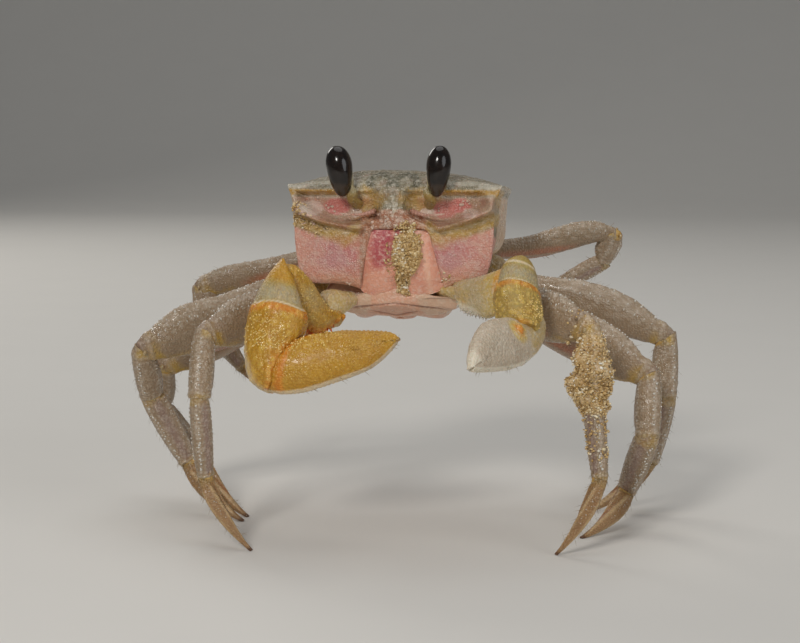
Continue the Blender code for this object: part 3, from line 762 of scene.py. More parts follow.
SHELL = {
    "Subsurface Weight": 0.12,
    "Subsurface Radius": (1.0, 0.55, 0.4),
    "Subsurface Scale": 0.0012,
    "Specular IOR Level": 0.5,
    "Coat Weight": 0.06,
    "Coat Roughness": 0.2,
    "IOR": 1.5,
}


GRAIN_HEIGHT = 0.00012


def limb_finish(name, base, second, joint, edge, dark, glint, wet=0.24, dry=0.46, grain_height=0.9,
                freckle=0.12, cloud=0.22, joint_strength=0.8, pale="B4AE92", bead_strength=0.45):
    """The shell of a limb: its base colour clouded with a darker one, a second colour where tinted, its
    own colours near the joints and along the edges, and glossier beads and grains, with painted
    highlights in the glint colour on their tops."""
    made = Finish(name, base, SHELL)
    mottle = made.mottle(260.0, 1500.0)
    grains = made.grains(2100.0)
    made.zones((second, "tint", 1.0, 0.22, 500.0, 0.4), (pale, "pale", 0.9, 0.35, 600.0, 0.4),
               ("D6B47C", "sandy", 1.0, 0.2, 900.0, 0.4))
    made.lay(dark, mottle["Clouds"], cloud)
    made.zones((joint, "joint", joint_strength, 0.5, 650.0, 0.45))
    made.lay(dark, mottle["Freckles"], freckle)
    made.zones((edge, "edge", 0.85, 0.2, 900.0, 0.4))
    # Painted highlights on the grains' tops.
    made.lay(glint, grains["Tops"], 0.22)
    bead = made.mark("bead")
    # Painted highlights on the beads, where the roughness is also lowered.
    made.lay(glint, bead, bead_strength)
    made.damp(wet, dry, 300.0, sums(made.tree, "MULTIPLY_ADD", bead, -0.5, 1.0))
    made.raise_by(grains["Height"], GRAIN_HEIGHT, grain_height)
    return made.close()


SHELL_ZONES = (
    ("DDA590", "cheek", 1.0, 0.2, 400.0, 0.4),
    ("BC8A92", "mauve", 0.6, 0.7, 330.0, 0.45),
    ("C4686A", "rose", 0.6, 0.8, 420.0, 0.5),
    ("EDB695", "salmon", 0.85, 0.3, 500.0, 0.45),
    ("DDBD9E", "flank", 0.9, 0.3, 400.0, 0.45),
    # Edge: paler on the side ridge, and a painted highlight along the front's top brink.
    ("C4BDA9", "edge", 0.5, 0.3, 900.0, 0.4),
    ("B59D80", "socket", 0.95, 0.3, 500.0, 0.4),
    ("BF994A", "lip", 0.95, 0.4, 480.0, 0.45),
    ("8A6A38", "lip_line", 0.6, 0.9, 700.0, 0.35),
    ("B87C60", "epistome", 0.85, 0.6, 500.0, 0.4),
    ("C4A15A", "olive", 0.9, 0.7, 600.0, 0.4),
    ("CF6F66", "pink", 0.85, 0.6, 480.0, 0.5),
    # White: the right socket's own grey-white, and painted highlights at three damp spots of the front.
    ("E2D6C4", "white", 0.85, 0.9, 620.0, 0.4),
    ("BE9036", "brow", 0.85, 0.4, 700.0, 0.4),
    ("4C4828", "arch", 0.9, 0.4, 600.0, 0.3),
    ("D0C7B4", "spot", 0.75, 1.1, 700.0, 0.25),
)


def shell_finish():
    """The body's shell: mottled back, bright brow, coloured orbits, olive lip, rosy cheeks."""
    made = Finish("shell", "81765B", SHELL)
    mottle = made.mottle(230.0, 1150.0)
    coarse = made.mottle(95.0, 520.0)
    grains = made.grains(2500.0)
    made.lay("6B664C", coarse["Clouds"], 0.42)
    made.lay("AFA58F", coarse["Freckles"], 0.28)
    made.lay("4F4C34", mottle["Freckles"], 0.3)
    made.zones(*SHELL_ZONES)
    rosy = sums(made.tree, "MAXIMUM", made.mark("cheek"), made.mark("socket"))
    made.lay("C0716C", sums(made.tree, "MULTIPLY", mottle["Clouds"], rosy), 0.45)
    # The grains' tops laid pale: partly their own paler colour, partly painted highlight.
    made.lay("FBE9DC", grains["Tops"], 0.38)
    moist_and_glint = made.mark("moist_and_glint")
    # Painted glints of the damp film: pale freckles where the front is moist.
    made.lay("FFF2E0", sums(made.tree, "MULTIPLY", moist_and_glint, mottle["Freckles"]), 0.35)
    # Painted highlights on the shell's beads: the orbits' lips and rims and the side ridge.
    made.lay("EDE4D2", made.mark("bead"), 0.4)
    made.damp(0.2, 0.44, 240.0, sums(made.tree, "MULTIPLY_ADD", moist_and_glint, -0.55, 1.0))
    made.raise_by(grains["Height"], 0.00014, 0.9)
    made.raise_by(sums(made.tree, "MULTIPLY", moist_and_glint, mottle["Clouds"]), 0.0006, 0.8)
    return made.close()


def breast_finish():
    """The breast plate and tail: rosy brown, darker in the seams between its plates."""
    made = Finish("breast", "E2B193", SHELL)
    mottle = made.mottle(240.0, 1300.0)
    grains = made.grains(2000.0)
    made.lay("CC8F7C", mottle["Clouds"], 0.5)
    made.zones(("D9BFA4", "edge", 0.6, 0.3, 500.0, 0.4), ("96604E", "seam", 0.7, 0.15, 900.0, 0.4))
    made.lay("E9D6C4", mottle["Freckles"], 0.35)
    # Painted highlights on the grains' tops.
    made.lay("F0DCCB", grains["Tops"], 0.15)
    made.damp(0.26, 0.5, 240.0)
    made.raise_by(grains["Height"], 0.0001, 0.7)
    return made.close()


def mouth_finish():
    """The outer mouth plates: magenta above, salmon below, with a pale border."""
    made = Finish("mouth", "F2B397", SHELL)
    mottle = made.mottle(260.0, 1500.0)
    grains = made.grains(2400.0)
    made.zones(("AE4650", "tint", 1.0, 0.5, 400.0, 0.5))
    made.lay("D07E70", mottle["Clouds"], 0.5)
    made.zones(("F5CDB0", "edge", 0.8, 0.4, 600.0, 0.45))
    made.lay("F3D6C6", mottle["Freckles"], 0.4)
    made.zones(("D6B47C", "sandy", 1.0, 0.2, 900.0, 0.4))
    # Painted highlights on the grains' tops.
    made.lay("F6E0D2", grains["Tops"], 0.15)
    made.damp(0.18, 0.42, 240.0)
    made.raise_by(grains["Height"], 0.0001, 0.6)
    return made.close()


def eye_finish():
    """The eyes: near black and glossy, a little brown at the edge, with the finest facets."""
    made = Finish("eye", "0E0A08", {"Coat Weight": 0.5, "Coat Roughness": 0.05, "IOR": 1.45,
                                    "Specular IOR Level": 0.25})
    mottle = made.mottle(420.0, 2600.0)
    made.lay("24170F", mottle["Clouds"], 0.5)
    made.zones(("3E3024", "edge", 0.7, 0.3, 600.0, 0.45))
    made.lay("3A2C22", mottle["Freckles"], 0.2)
    facets = add(made.tree, "ShaderNodeTexVoronoi", Vector=made.place, Scale=9000.0, Randomness=0.25)
    made.damp(0.12, 0.24, 500.0)
    made.raise_by(facets.outputs["Distance"], 0.00001, 0.25)
    return made.close()


def skin_finish(name, base, dark, bright):
    """The soft skin between two pieces of a limb, creased and damp."""
    made = Finish(name, base, {**SHELL, "Subsurface Weight": 0.25})
    mottle = made.mottle(500.0, 1800.0)
    made.lay(dark, mottle["Clouds"], 0.5)
    made.lay(bright, mottle["Freckles"], 0.4)
    made.damp(0.2, 0.4, 400.0)
    made.raise_by(mottle["Clouds"], 0.0001, 0.5)
    return made.close()


def hair_finish():
    """The bristles: straw coloured, with brown in it."""
    made = Finish("bristle", "A08A63", {"Coat Weight": 0.2, "Coat Roughness": 0.3})
    made.lay("6E573A", made.mottle(900.0, 2500.0)["Clouds"], 0.6)
    made.damp(0.3, 0.5, 800.0)
    return made.close()


SAND_TONES = ((0.0, "6A5436"), (0.05, "A07E4C"), (0.3, "C49E60"), (0.6, "DDBE84"), (0.85, "EEDDB6"),
              (1.0, "FBF5E6"))


def sand_finish():
    """Beach sand: golden, amber and white grains with some dark ones, each one colour, glassy where wet."""
    made = Finish("sand", "B99A63", {"Coat Weight": 0.5, "Coat Roughness": 0.1, "IOR": 1.54})
    ramp = add(made.tree, "ShaderNodeValToRGB", Fac=made.mark("tone"))
    steps = ramp.color_ramp.elements
    while len(steps) < len(SAND_TONES):
        steps.new(0.5)
    for step, (where, colour) in zip(steps, SAND_TONES):
        step.position = where
        step.color = paint(colour)
    made.colour = ramp.outputs["Color"]
    mottle = made.mottle(1300.0, 4200.0)
    made.lay("6B5230", mottle["Freckles"], 0.3)
    made.damp(0.14, 0.5, 900.0)
    made.raise_by(mottle["Clouds"], 0.00008, 0.6)
    return made.close()


LEG = limb_finish("leg", base="9C856A", second="93796C", joint="BF9A38", edge="B09E88", dark="78664F",
                  glint="E0D4C4", pale="B8785A", wet=0.15, dry=0.38, freckle=0.11, grain_height=1.0)
TOE = limb_finish("toe", base="A07C52", second="5A3A24", joint="A68A52", edge="BD9C6C", dark="74502F",
                  glint="E8CFA2", pale="B0683F", joint_strength=0.6, cloud=0.4, freckle=0.25,
                  grain_height=1.2)
# The leg beads are near white: painted highlights for the light their glossy tops catch.
LEG_BEADS = limb_finish("leg_beads", base="E0D9CE", second="CFC5B8", joint="D8C690", edge="ECE6DC",
                        dark="B8AC9C", glint="FFFDF8", wet=0.04, dry=0.12, bead_strength=0.35)
# Pale gold beads: the paleness is painted highlight, for the light their glossy tops catch.
GOLD_BEADS = limb_finish("claw_beads", base="F5D488", second="E6C878", joint="E8A84A", edge="F8E6C0",
                         dark="E0B050", glint="FFF2C8", wet=0.06, dry=0.16)
GOLD = limb_finish("claw_gold", base="C08D20", second="AC9A5A", joint="D87A14", edge="E6D2B0",
                   dark="9C6A16", glint="F2CE6C", cloud=0.4, freckle=0.22, joint_strength=0.66,
                   bead_strength=0.42)
PALE = limb_finish("claw_pale", base="C8B69E", second="D6B65C", joint="DC9A35", edge="EADFC8",
                   dark="A6937A", glint="F0E8D8", cloud=0.3)
STALK = limb_finish("eyestalk", base="A4946C", second="A6894A", joint="A89B66", edge="BDB49C",
                    dark="6F6450", glint="E6E2D2")
FEELER = limb_finish("feeler", base="BC8C7C", second="A0705E", joint="C99A84", edge="D9B8A4",
                     dark="8E5F50", glint="F2E2D6")
SHELL_MADE = shell_finish()
BREAST = breast_finish()
MOUTH = mouth_finish()
EYE = eye_finish()
JOINT_SKIN = skin_finish("joint_skin", "C9A25A", "9A6F3A", "E6CF92")
KNOB = skin_finish("joint_knob", "D98E2B", "A85F16", "F0C878")
LEG_KNOB = skin_finish("leg_joint_knob", "A8926C", "7E6846", "D9C8A0")
TEETH = skin_finish("arm_teeth", "CF5F22", "A5410F", "EBA25A")
DROPS = limb_finish("droplets", base="D9BDAA", second="C4A090", joint="D8B890", edge="EADDD0",
                    dark="B08C7C", glint="FFF6EC", wet=0.03, dry=0.1)
HAIR = hair_finish()
SAND = sand_finish()


# The body ------------------------------------------------------------------------------------------


ORBIT_FLOOR = 17.6


def lip_height(x):
    """Height of the orbit's lower lip over its floor, by distance from the middle plane."""
    return np.interp(np.abs(x), (0.0, 4.4, 9.0, 14.0, 21.0), (2.2, 1.2, -1.6, -0.2, 2.4))


def ahead_of(y):
    """1 on the body's front, and 0 behind it."""
    return smooth(-9.0, -12.0, y)


def in_orbit(x, y, z):
    """How far inside an orbit's trough a point of the shell is."""
    out = np.abs(x)
    lip = ORBIT_FLOOR + lip_height(x)
    across = smooth(2.8, 5.4, out) * fade(18.6, 19.9, out)
    return across * smooth(lip + 0.4, lip + 1.4, z) * fade(22.7, 23.8, z) * smooth(-9.0, -11.0, y)


def splay(x, y, z):
    """How far the sides of the mouth frame move outwards, which is more the lower they are."""
    out = np.abs(x)
    near = smooth(1.0, 6.4, out) * fade(7.6, 14.0, out) * smooth(-8.0, -12.0, y) * fade(17.0, 19.0, z)
    return np.sign(x) * 0.15 * (11.0 - z) * near


def turned(x, y, z):
    """How far each place in the mouth frame lies towards the crab's left, its mouth a little askew."""
    to_right, to_left = 1.1 + 0.073 * (z - 5.0), 2.3 - 0.136 * (z - 5.0)
    shift = 0.5 + np.where(x < 0.0, (to_right - 0.5) * smooth(0.0, 6.0, -x),
                           (to_left - 0.5) * smooth(0.0, 6.0, x))
    return shift * fade(7.6, 14.0, np.abs(x)) * smooth(-8.0, -12.0, y) * fade(17.5, 19.5, z)


def patch(x, z, middle, size):
    """1 inside an oval patch of the front, and 0 outside it."""
    away = ((x - middle[0]) / size[0]) ** 2 + ((z - middle[1]) / size[1]) ** 2
    return fade(0.5, 1.4, away)


# Patches of colour on the front: how strong, middle, and half size, in the body's x and z.
ROSE = ((1.0, (8.6, 15.0), (2.6, 3.4)), (0.8, (-7.6, 14.0), (2.4, 3.4)), (0.5, (14.0, 14.0), (3.4, 2.4)))
PINK = ((1.0, (-10.9, 21.4), (2.5, 1.7)), (1.0, (12.6, 21.8), (2.0, 1.4)),
        (0.75, (9.6, 20.9), (2.4, 1.8)))
# White patches: the first is the right socket's own grey-white, the other three are painted highlights where the
# damp front shines.
WHITE_AND_GLINTS = ((1.0, (-15.9, 21.0), (2.3, 1.7)), (0.8, (14.6, 20.2), (1.7, 1.1)),
         (0.8, (6.4, 20.4), (1.6, 0.9)), (0.8, (-7.2, 20.2), (1.2, 0.9)))


def patches(x, z, table):
    """All the patches of a table together."""
    return sum(strength * patch(x, z, middle, size) for strength, middle, size in table)


def shape_carapace(skin):
    """The solid's shell is brought closer to life: fuller corners, deep orbits, a splayed mouth frame."""
    x, y, z = skin.in_body().T
    out = np.abs(x)
    # The cheeks' lower corners are full, and the left one is raised.
    corner = smooth(-6.0, -12.0, y) * hump(out, 15.0, 4.2) * fade(7.0, 14.0, z)
    lifted = 1.3 * smooth(14.5, 19.0, x) * smooth(-6.0, -12.0, y) * fade(8.0, 14.0, z)
    skin.move_in_body(dx=np.sign(x) * 2.2 * corner, dy=-1.2 * corner, dz=lifted - 1.7 * corner)
    x, y, z = skin.in_body().T
    skin.move_in_body(dx=splay(x, y, z), dy=-3.7 * in_orbit(x, y, z))
    x, y, z = skin.in_body().T
    skin.move_in_body(dx=turned(x, y, z))
    x, y, z = skin.in_body().T
    # The front's lower corners are cut to an arc.
    aside, under = np.abs(x) - 15.9, 10.7 - z
    away = np.hypot(aside, under)
    past = np.maximum(away - 3.5, 0.0) / np.maximum(away, 1e-6)
    arc = smooth(-7.0, -10.0, y) * (aside > 0.0) * (under > 0.0) * past
    skin.move_in_body(dx=-np.sign(x) * arc * aside, dz=arc * under)
    x, y, z = skin.in_body().T
    out = np.abs(x)
    # The sockets' corners and the turn from the cheek to the flank are worn round.
    fore = smooth(-8.0, -11.0, y)
    worn = fore * smooth(2.4, 4.0, out) * smooth(18.4, 19.6, z) * fade(23.4, 24.4, z)
    flank_turn = fore * smooth(16.4, 18.4, out) * fade(22.6, 24.0, z)
    skin.soften(np.maximum(0.8 * worn, flank_turn), 16)


def colour_carapace(skin, x, y, z, lip, front):
    """Notes the zones of colour on the shell's front and flanks."""
    out = np.abs(x)
    fore = ahead_of(y)
    cheek = front * fade(lip - 2.4, lip - 1.0, z) * smooth(5.6, 6.8, out)
    low_side = smooth(-10.0, -14.0, y) * fade(15.0, 16.5, z) * smooth(5.6, 6.8, out)
    cheek = np.maximum(cheek, low_side)
    skin.note("cheek", cheek)
    skin.note("mauve", cheek * hump(out, 10.5, 4.4) * smooth(8.0, 11.0, z))
    skin.note("rose", cheek * patches(x, z, ROSE))
    skin.note("salmon", cheek * fade(6.8, 9.6, z))
    skin.note("flank", smooth(-13.5, -10.5, y) * fade(22.8, 24.2, z) * smooth(13.0, 16.0, out))
    depth = 3.3 - 0.12 * np.minimum(out, 16.0)
    skin.note("lip", fore * hump(z, lip - 0.3, depth) * smooth(2.6, 5.0, out))
    crease = hump(z, lip + 1.4, 0.55) * smooth(4.0, 6.0, out) * fade(12.0, 16.0, out)
    skin.note("lip_line", 0.9 * fore * crease)
    # Where the front is moist: glossier, and with painted glints laid on it in the shell's finish.
    wet = 0.5 * hump(z, lip + 1.2, 1.3) * fade(10.0, 16.0, out) \
        + 0.9 * hump(z, 18.6, 2.2) * fade(4.0, 7.0, out)
    skin.note("moist_and_glint", wet * fore)
    skin.note("epistome", fore * fade(5.0, 7.5, out) * fade(20.2, 21.2, z))
    skin.note("olive", fore * hump(out, 5.2, 3.6) * hump(z, 22.7, 2.2) * 1.3)
    skin.note("socket", in_orbit(x, y, z))
    floor = smooth(-9.5, -11.0, y) * smooth(18.4, 19.2, z) * fade(22.9, 23.6, z)
    skin.note("pink", patches(x, z, PINK) * floor)
    within = smooth(-9.5, -11.0, y) * smooth(18.6, 19.4, z) * fade(22.8, 23.4, z)
    # Grey-white in the right socket, and painted highlights at three damp spots.
    skin.note("white", patches(x, z, WHITE_AND_GLINTS) * within)
    along_top = 1.1 * hump(z, 24.1, 0.55) * smooth(7.0, 10.5, out)
    down_side = 0.8 * hump(out, 19.8, 0.8) * hump(z, 22.4, 1.9)
    skin.note("brow", (along_top + down_side) * fore)
    arch = hump(np.hypot(out - 2.4, (z - 26.0) * 1.3), 2.1, 0.85) * smooth(-7.0, -11.0, y)
    skin.note("arch", arch * smooth(24.6, 25.4, z))
    spot = patch(x, z, (0.4, 23.2), (0.9, 3.0)) + 0.7 * patch(out, z, (3.4, 26.6), (1.6, 1.0)) \
        + 0.6 * patch(x, z, (0.3, 20.2), (2.4, 0.8))
    skin.note("spot", 0.38 * spot * fore)


def dress_carapace():
    skin = Skin("carapace", "shell", 3, 42.0, 0.65)
    shape_carapace(skin)
    x, y, z = skin.in_body().T
    ny, nz = skin.facing().T[1:]
    out = np.abs(x)
    front = smooth(-0.1, -0.5, ny) * ahead_of(y)
    back = smooth(0.25, 0.6, nz) * smooth(23.4, 24.2, z)
    lip = ORBIT_FLOOR + lip_height(x)
    plain = 1.0 - in_orbit(x, y, z)
    # Grains: close and low over the back and cheeks, larger on the back, none in the orbits.
    skin.lift(0.10 * pearls(skin.points, 1.05, 0.5, 3, 0.75) * (0.35 + 0.65 * back) * plain)
    small = pearls(skin.points, 0.8, 0.5, 5)
    skin.lift(0.045 * small * plain)
    # The beaded ridge round the back's upper edge, and the beaded lips of the orbits.
    ridge = hump(z, 25.2, 0.55) * (1.0 - smooth(0.55, 0.9, np.abs(nz)) * 0.3)
    side_ridge = ridge * smooth(15.0, 18.0, out)
    skin.lift(0.16 * beads(y, 0.95, z - 25.3, 0.55) * smooth(17.5, 19.5, out))
    upper = hump(z, 23.4, 0.45) * smooth(4.5, 6.0, out) * fade(19.0, 20.0, out) * front
    skin.lift(0.1 * upper * (0.55 + 0.45 * wave(x, 0.85)))
    lower = hump(z, lip + 0.2, 0.45) * smooth(3.5, 5.0, out) * front
    skin.lift(0.14 * lower * (0.5 + 0.5 * wave(x, 0.8)))
    # Shallow furrows that part the regions of the back.
    furrow = hump(np.abs(out - 5.2 - 1.1 * np.sin(y / 3.2)), 0.0, 0.75) * smooth(-9.0, -6.0, y) \
        * fade(7.0, 11.0, y)
    across = hump(y + 3.0 + 0.16 * out ** 1.3, 0.0, 0.9) * smooth(3.0, 5.0, out) * fade(14.0, 17.0, out)
    skin.lift(-0.32 * (furrow + across) * back)
    skin.lift(0.2 * (ripple(skin.points, 5.0, 9) - 0.5) * plain * (0.4 + 0.6 * back))
    # The bead mark, where the shell's finish paints highlights.
    skin.note("bead", 0.7 * small * plain + 0.4 * lower + 0.6 * upper + 0.6 * side_ridge)
    colour_carapace(skin, x, y, z, lip, front)
    # The edge mark: the side ridge paler, and a thin painted highlight along the front's top brink.
    brink = hump(z, 25.9, 0.4) * smooth(-7.0, -10.0, y) * fade(17.0, 19.0, out) * smooth(6.0, 8.0, out)
    skin.note("edge", side_ridge + brink)
    skin.close(SHELL_MADE, "shell_grey_green")


# The breast plate's half width at places along it, and where its seams cross the middle.
STERNUM_WIDTHS = ((-14.4, -9.2, -4.6, 6.0, 15.4), (5.0, 7.0, 10.2, 10.8, 6.8))
STERNUM_SEAMS = (-9.6, -5.4, 0.2, 5.8, 11.2)


def dress_sternum():
    skin = Skin("sternum", "plate", 4, 42.0, 0.5)
    x, y, z = skin.in_body().T
    ahead = smooth(-7.0, -11.5, y)
    brink = smooth(-10.6, -13.6, y) * smooth(2.6, 3.3, z)  # its front upper edge, under the mouth
    lifted = 1.4 + 1.2 * hump(x, 0.0, 2.4) - 0.5 * hump(np.abs(x), 4.8, 2.2)
    bowed = 0.012 * x * x * ahead * fade(2.6, 3.3, z)
    skin.move_in_body(dx=0.95 * x * ahead, dy=0.5 * smooth(-11.0, -14.0, y) * smooth(1.5, 3.3, z),
                      dz=lifted * brink - bowed)
    x, y, z = skin.in_body().T
    ny, nz = skin.facing().T[1:]
    # Seams run out from the middle and forward, one to each limb.
    slant = y + 0.42 * np.abs(x)
    seams = np.zeros(len(x))
    for at in STERNUM_SEAMS:
        seams = np.maximum(seams, hump(slant, at, 0.34))
    before = smooth(-10.6, -12.6, y)
    for at, fall in ((5.0, 0.3), (3.0, 0.12)):
        seams = np.maximum(seams * (1.0 - before), before * hump(z + fall * np.abs(x), at, 0.2))
    middle = hump(x, 0.0, 0.3) * smooth(-6.0, -4.0, y)
    under = smooth(0.1, -0.4, nz) + smooth(-0.1, -0.5, ny)
    seams = np.maximum(seams, middle) * np.clip(under, 0.0, 1.0)
    skin.lift(-0.3 * seams)
    skin.lift(0.04 * pearls(skin.points, 0.8, 0.5, 13) * (1.0 - seams))
    skin.lift(0.16 * (ripple(skin.points, 3.5, 15) - 0.5))
    skin.note("seam", seams)
    skin.note("edge", smooth(0.72, 1.0, np.abs(x) / np.interp(y, *STERNUM_WIDTHS)))
    skin.close(BREAST, "sternum_shell")


def dress_abdomen():
    skin = Skin("abdomen", "tail", 3, 60.0, 0.3)
    y, z = skin.in_body().T[1:]
    # The tail's rings: grooves across it, counted along its way round from the back.
    way = np.where(z > 6.0, 17.2 - z, 9.0 + (16.0 - y))
    grooves = np.maximum(0.0, wave(way, 4.2)) ** 10
    skin.lift(-0.16 * grooves)
    skin.lift(0.03 * pearls(skin.points, 0.8, 0.5, 23))
    skin.note("seam", 0.8 * grooves)
    skin.close(BREAST, "sternum_shell")


# Where the mouth plates' lower edge runs: places across the body, and heights.
MOUTH_HEM = ((-6.6, -4.7, -2.0, 0.5, 2.6, 4.9, 7.6, 10.1), (5.6, 3.9, 4.5, 5.3, 4.6, 4.0, 4.9, 6.2))
MOUTH_FRONT = -16.0


def mouth_clump(x, z):
    """Where the sand clings to the left mouth plate, in a ragged streak."""
    streak = np.maximum(patch(x, z, (2.8, 13.0), (2.6, 4.6)), 0.75 * patch(x, z, (1.8, 7.6), (1.5, 3.2)))
    ragged = ripple(np.stack([x, 0.0 * x, z], axis=1), 1.5, 71) - 0.45
    return np.clip(1.25 * streak + 1.3 * ragged * smooth(0.05, 0.5, streak), 0.0, 1.0)


def hang_mouth_plate(skin, side):
    """The plate fills its half of the frame, and its lower edge is hung along the mouth's."""
    x, _, z = skin.in_body().T
    out = np.abs(x)
    foot = fade(4.5, 7.5, z)
    dropped = foot * (0.2 + 1.3 * hump(out, 4.4, 1.4))
    skin.move_in_body(dx=side * (-0.16 * fade(0.1, 1.2, out) + 1.15 * smooth(3.6, 6.0, out)), dy=0.6,
                      dz=1.0 * smooth(13.0, 15.8, z) - dropped + 1.4 * foot * smooth(5.2, 6.6, out))
    skin.move_in_body(dy=-0.6 * foot, dz=-0.5 * foot)
    for sideways in (splay, turned):
        x, _, z = skin.in_body().T
        skin.move_in_body(dx=sideways(x, np.full(len(x), MOUTH_FRONT), z))
    x, _, z = skin.in_body().T
    places = np.linspace(x.min(), x.max(), 25)
    hem = np.interp(x, places, [float(z[np.abs(x - at) < 0.7].min()) for at in places])
    wanted = np.interp(x, *MOUTH_HEM)
    skin.move_in_body(dz=(wanted - hem) * fade(0.5, 6.0, z - hem))


def dress_mouth_plate(side_name):
    skin = Skin(side_name + "_mouth_plate", "shell", 4, 46.0, 0.55)
    hang_mouth_plate(skin, SIDES[side_name])
    # Its face is one even swell.
    x, y, z = skin.in_body().T
    face = smooth(-0.2, -0.6, skin.facing()[:, 1])
    terms = np.stack([np.ones(len(x)), x, z, x * x, x * z, z * z], axis=1)
    fit = np.linalg.lstsq(terms * face[:, None], y * face, rcond=None)[0]
    skin.move_in_body(dy=0.85 * face * (terms @ fit - y) + 0.22)
    skin.soften(0.7 * face, 6)
    x, y, z = skin.in_body().T
    out = np.abs(x)
    face = smooth(-0.2, -0.6, skin.facing()[:, 1])
    slant = z + 0.25 * (out - 3.0)
    skin.move_in_body(dy=0.5 * smooth(4.6, 6.4, out) * face)
    skin.lift(0.09 * beads(z, 0.75, out - 0.45, 0.3) * face)
    skin.lift(0.035 * pearls(skin.points, 0.7, 0.45, 31, 0.6) * face)
    skin.lift(0.14 * (ripple(skin.points, 2.6, 33) - 0.5) * face)
    if side_name == "left":
        clump = mouth_clump(x, z) * face
        skin.lift(0.55 * clump * sand_lumps(skin.points))
        skin.note("sandy", clump)
    skin.note("tint", 1.1 * smooth(8.4, 11.0, slant) * hump(out, 2.2, 2.5))
    skin.note("edge", 0.6 * hump(out, 6.2 + 0.15 * (11.0 - z), 0.8) + 0.4 * fade(4.6, 5.6, z))
    skin.close(MOUTH, "mouth_plate")


EYE_HEIGHT = 9.25
EYE_HALF_WIDTH = 2.5
EYE_MIDDLE = 0.52  # share of an eye's height that is under its middle


def eye_form():
    """The eyes' outline as a distance from a middle point at each angle down from the top."""
    share = np.linspace(0.0, 1.0, 181)
    power = np.interp(share, (0.5, 0.75), (0.31, 0.43))
    half = np.sin(math.pi * share ** 1.45) ** power
    height = (share - EYE_MIDDLE) * EYE_HEIGHT
    half = half * EYE_HALF_WIDTH
    angle = np.arctan2(half, height)
    order = np.argsort(angle)
    return angle[order], np.hypot(half, height)[order]


def dress_eye(side_name):
    """An upright oval, fullest above its middle and drawn in towards its foot."""
    skin = Skin(side_name + "_eye", "cornea", 4, 60.0, 0.1)
    x, y, z = skin.in_body().T
    side = SIDES[side_name]
    new_angle, wide = (6.0, 1.0) if side_name == "right" else (3.0, 0.93)
    lean = math.tan(math.radians(EYE_LEAN[side_name])) * side
    new_lean = math.tan(math.radians(new_angle)) * side
    foot, top = z.min() - 0.65, z.max() - 0.5
    centre = foot + EYE_MIDDLE * (top - foot)
    stretch = (top - foot) / EYE_HEIGHT
    middle = side * EYE_SPREAD[side_name] + lean * (z - EYE_FOOT)
    behind = float(y.min() + y.max()) / 2.0
    dx, dy, dz = x - middle, y - behind, z - 0.575 - centre
    flat = np.maximum(np.hypot(dx, dy), 1e-6)
    angle = np.arctan2(flat, dz / stretch)
    reach = np.interp(angle, *eye_form())
    new_flat, new_up = reach * np.sin(angle) * wide, reach * np.cos(angle) * stretch
    new_middle = side * EYE_SPREAD[side_name] + lean * (centre - EYE_FOOT) + new_lean * new_up
    skin.move_in_body(dx=new_middle + dx / flat * new_flat - x,
                      dy=behind + dy / flat * new_flat - y, dz=centre + new_up - z)
    z = skin.in_body()[:, 2]
    inner = smooth(0.55, 0.95, -side * skin.facing()[:, 0])
    skin.note("edge", np.maximum(inner * 0.8, fade(24.4, 26.2, z)))
    skin.close(EYE, "eye_cornea")


def dress_stalk(side_name):
    skin = Skin(side_name + "_eyestalk", "shell", 4, 50.0, 0.3)
    x, _, z = skin.in_body().T
    side = SIDES[side_name]
    strip = smooth(24.0, 25.5, z)
    means = [float(np.mean(x[np.abs(z - height) < 0.8])) for height in (24.6, 26.0, 29.0, 31.4)]
    middle = np.interp(z, (24.0, 26.0, 29.0, 32.0), means)
    skin.move_in_body(dx=side * 0.8 * strip - 0.35 * (x - middle) * strip, dy=0.75 * strip,
                      dz=-1.9 * smooth(26.0, 32.0, z))
    z = skin.in_body()[:, 2]
    skin.lift(0.035 * pearls(skin.points, 0.6, 0.5, 41))
    skin.lift(0.05 * wave(z, 1.3) * fade(23.5, 24.5, z))
    skin.note("edge", 0.6 * smooth(25.0, 26.5, z))
    skin.note("tint", fade(23.0, 24.4, z))
    skin.close(STALK, "eyestalk_shell")


def dress_antenna(side_name):
    skin = Skin(side_name + "_antenna", "shell", 4, 60.0, 0.2)
    skin.move(-0.12 * skin.normals)
    skin.move_in_body(dy=1.2, dz=-0.35)
    out = np.abs(skin.in_body()[:, 0])
    rings = wave(out, 0.62)
    skin.lift(0.045 * rings)
    skin.note("joint", 0.5 + 0.5 * rings)
    skin.note("edge", smooth(7.0, 9.0, out))
    skin.close(FEELER, "eyestalk_shell")


# The walking legs ----------------------------------------------------------------------------------


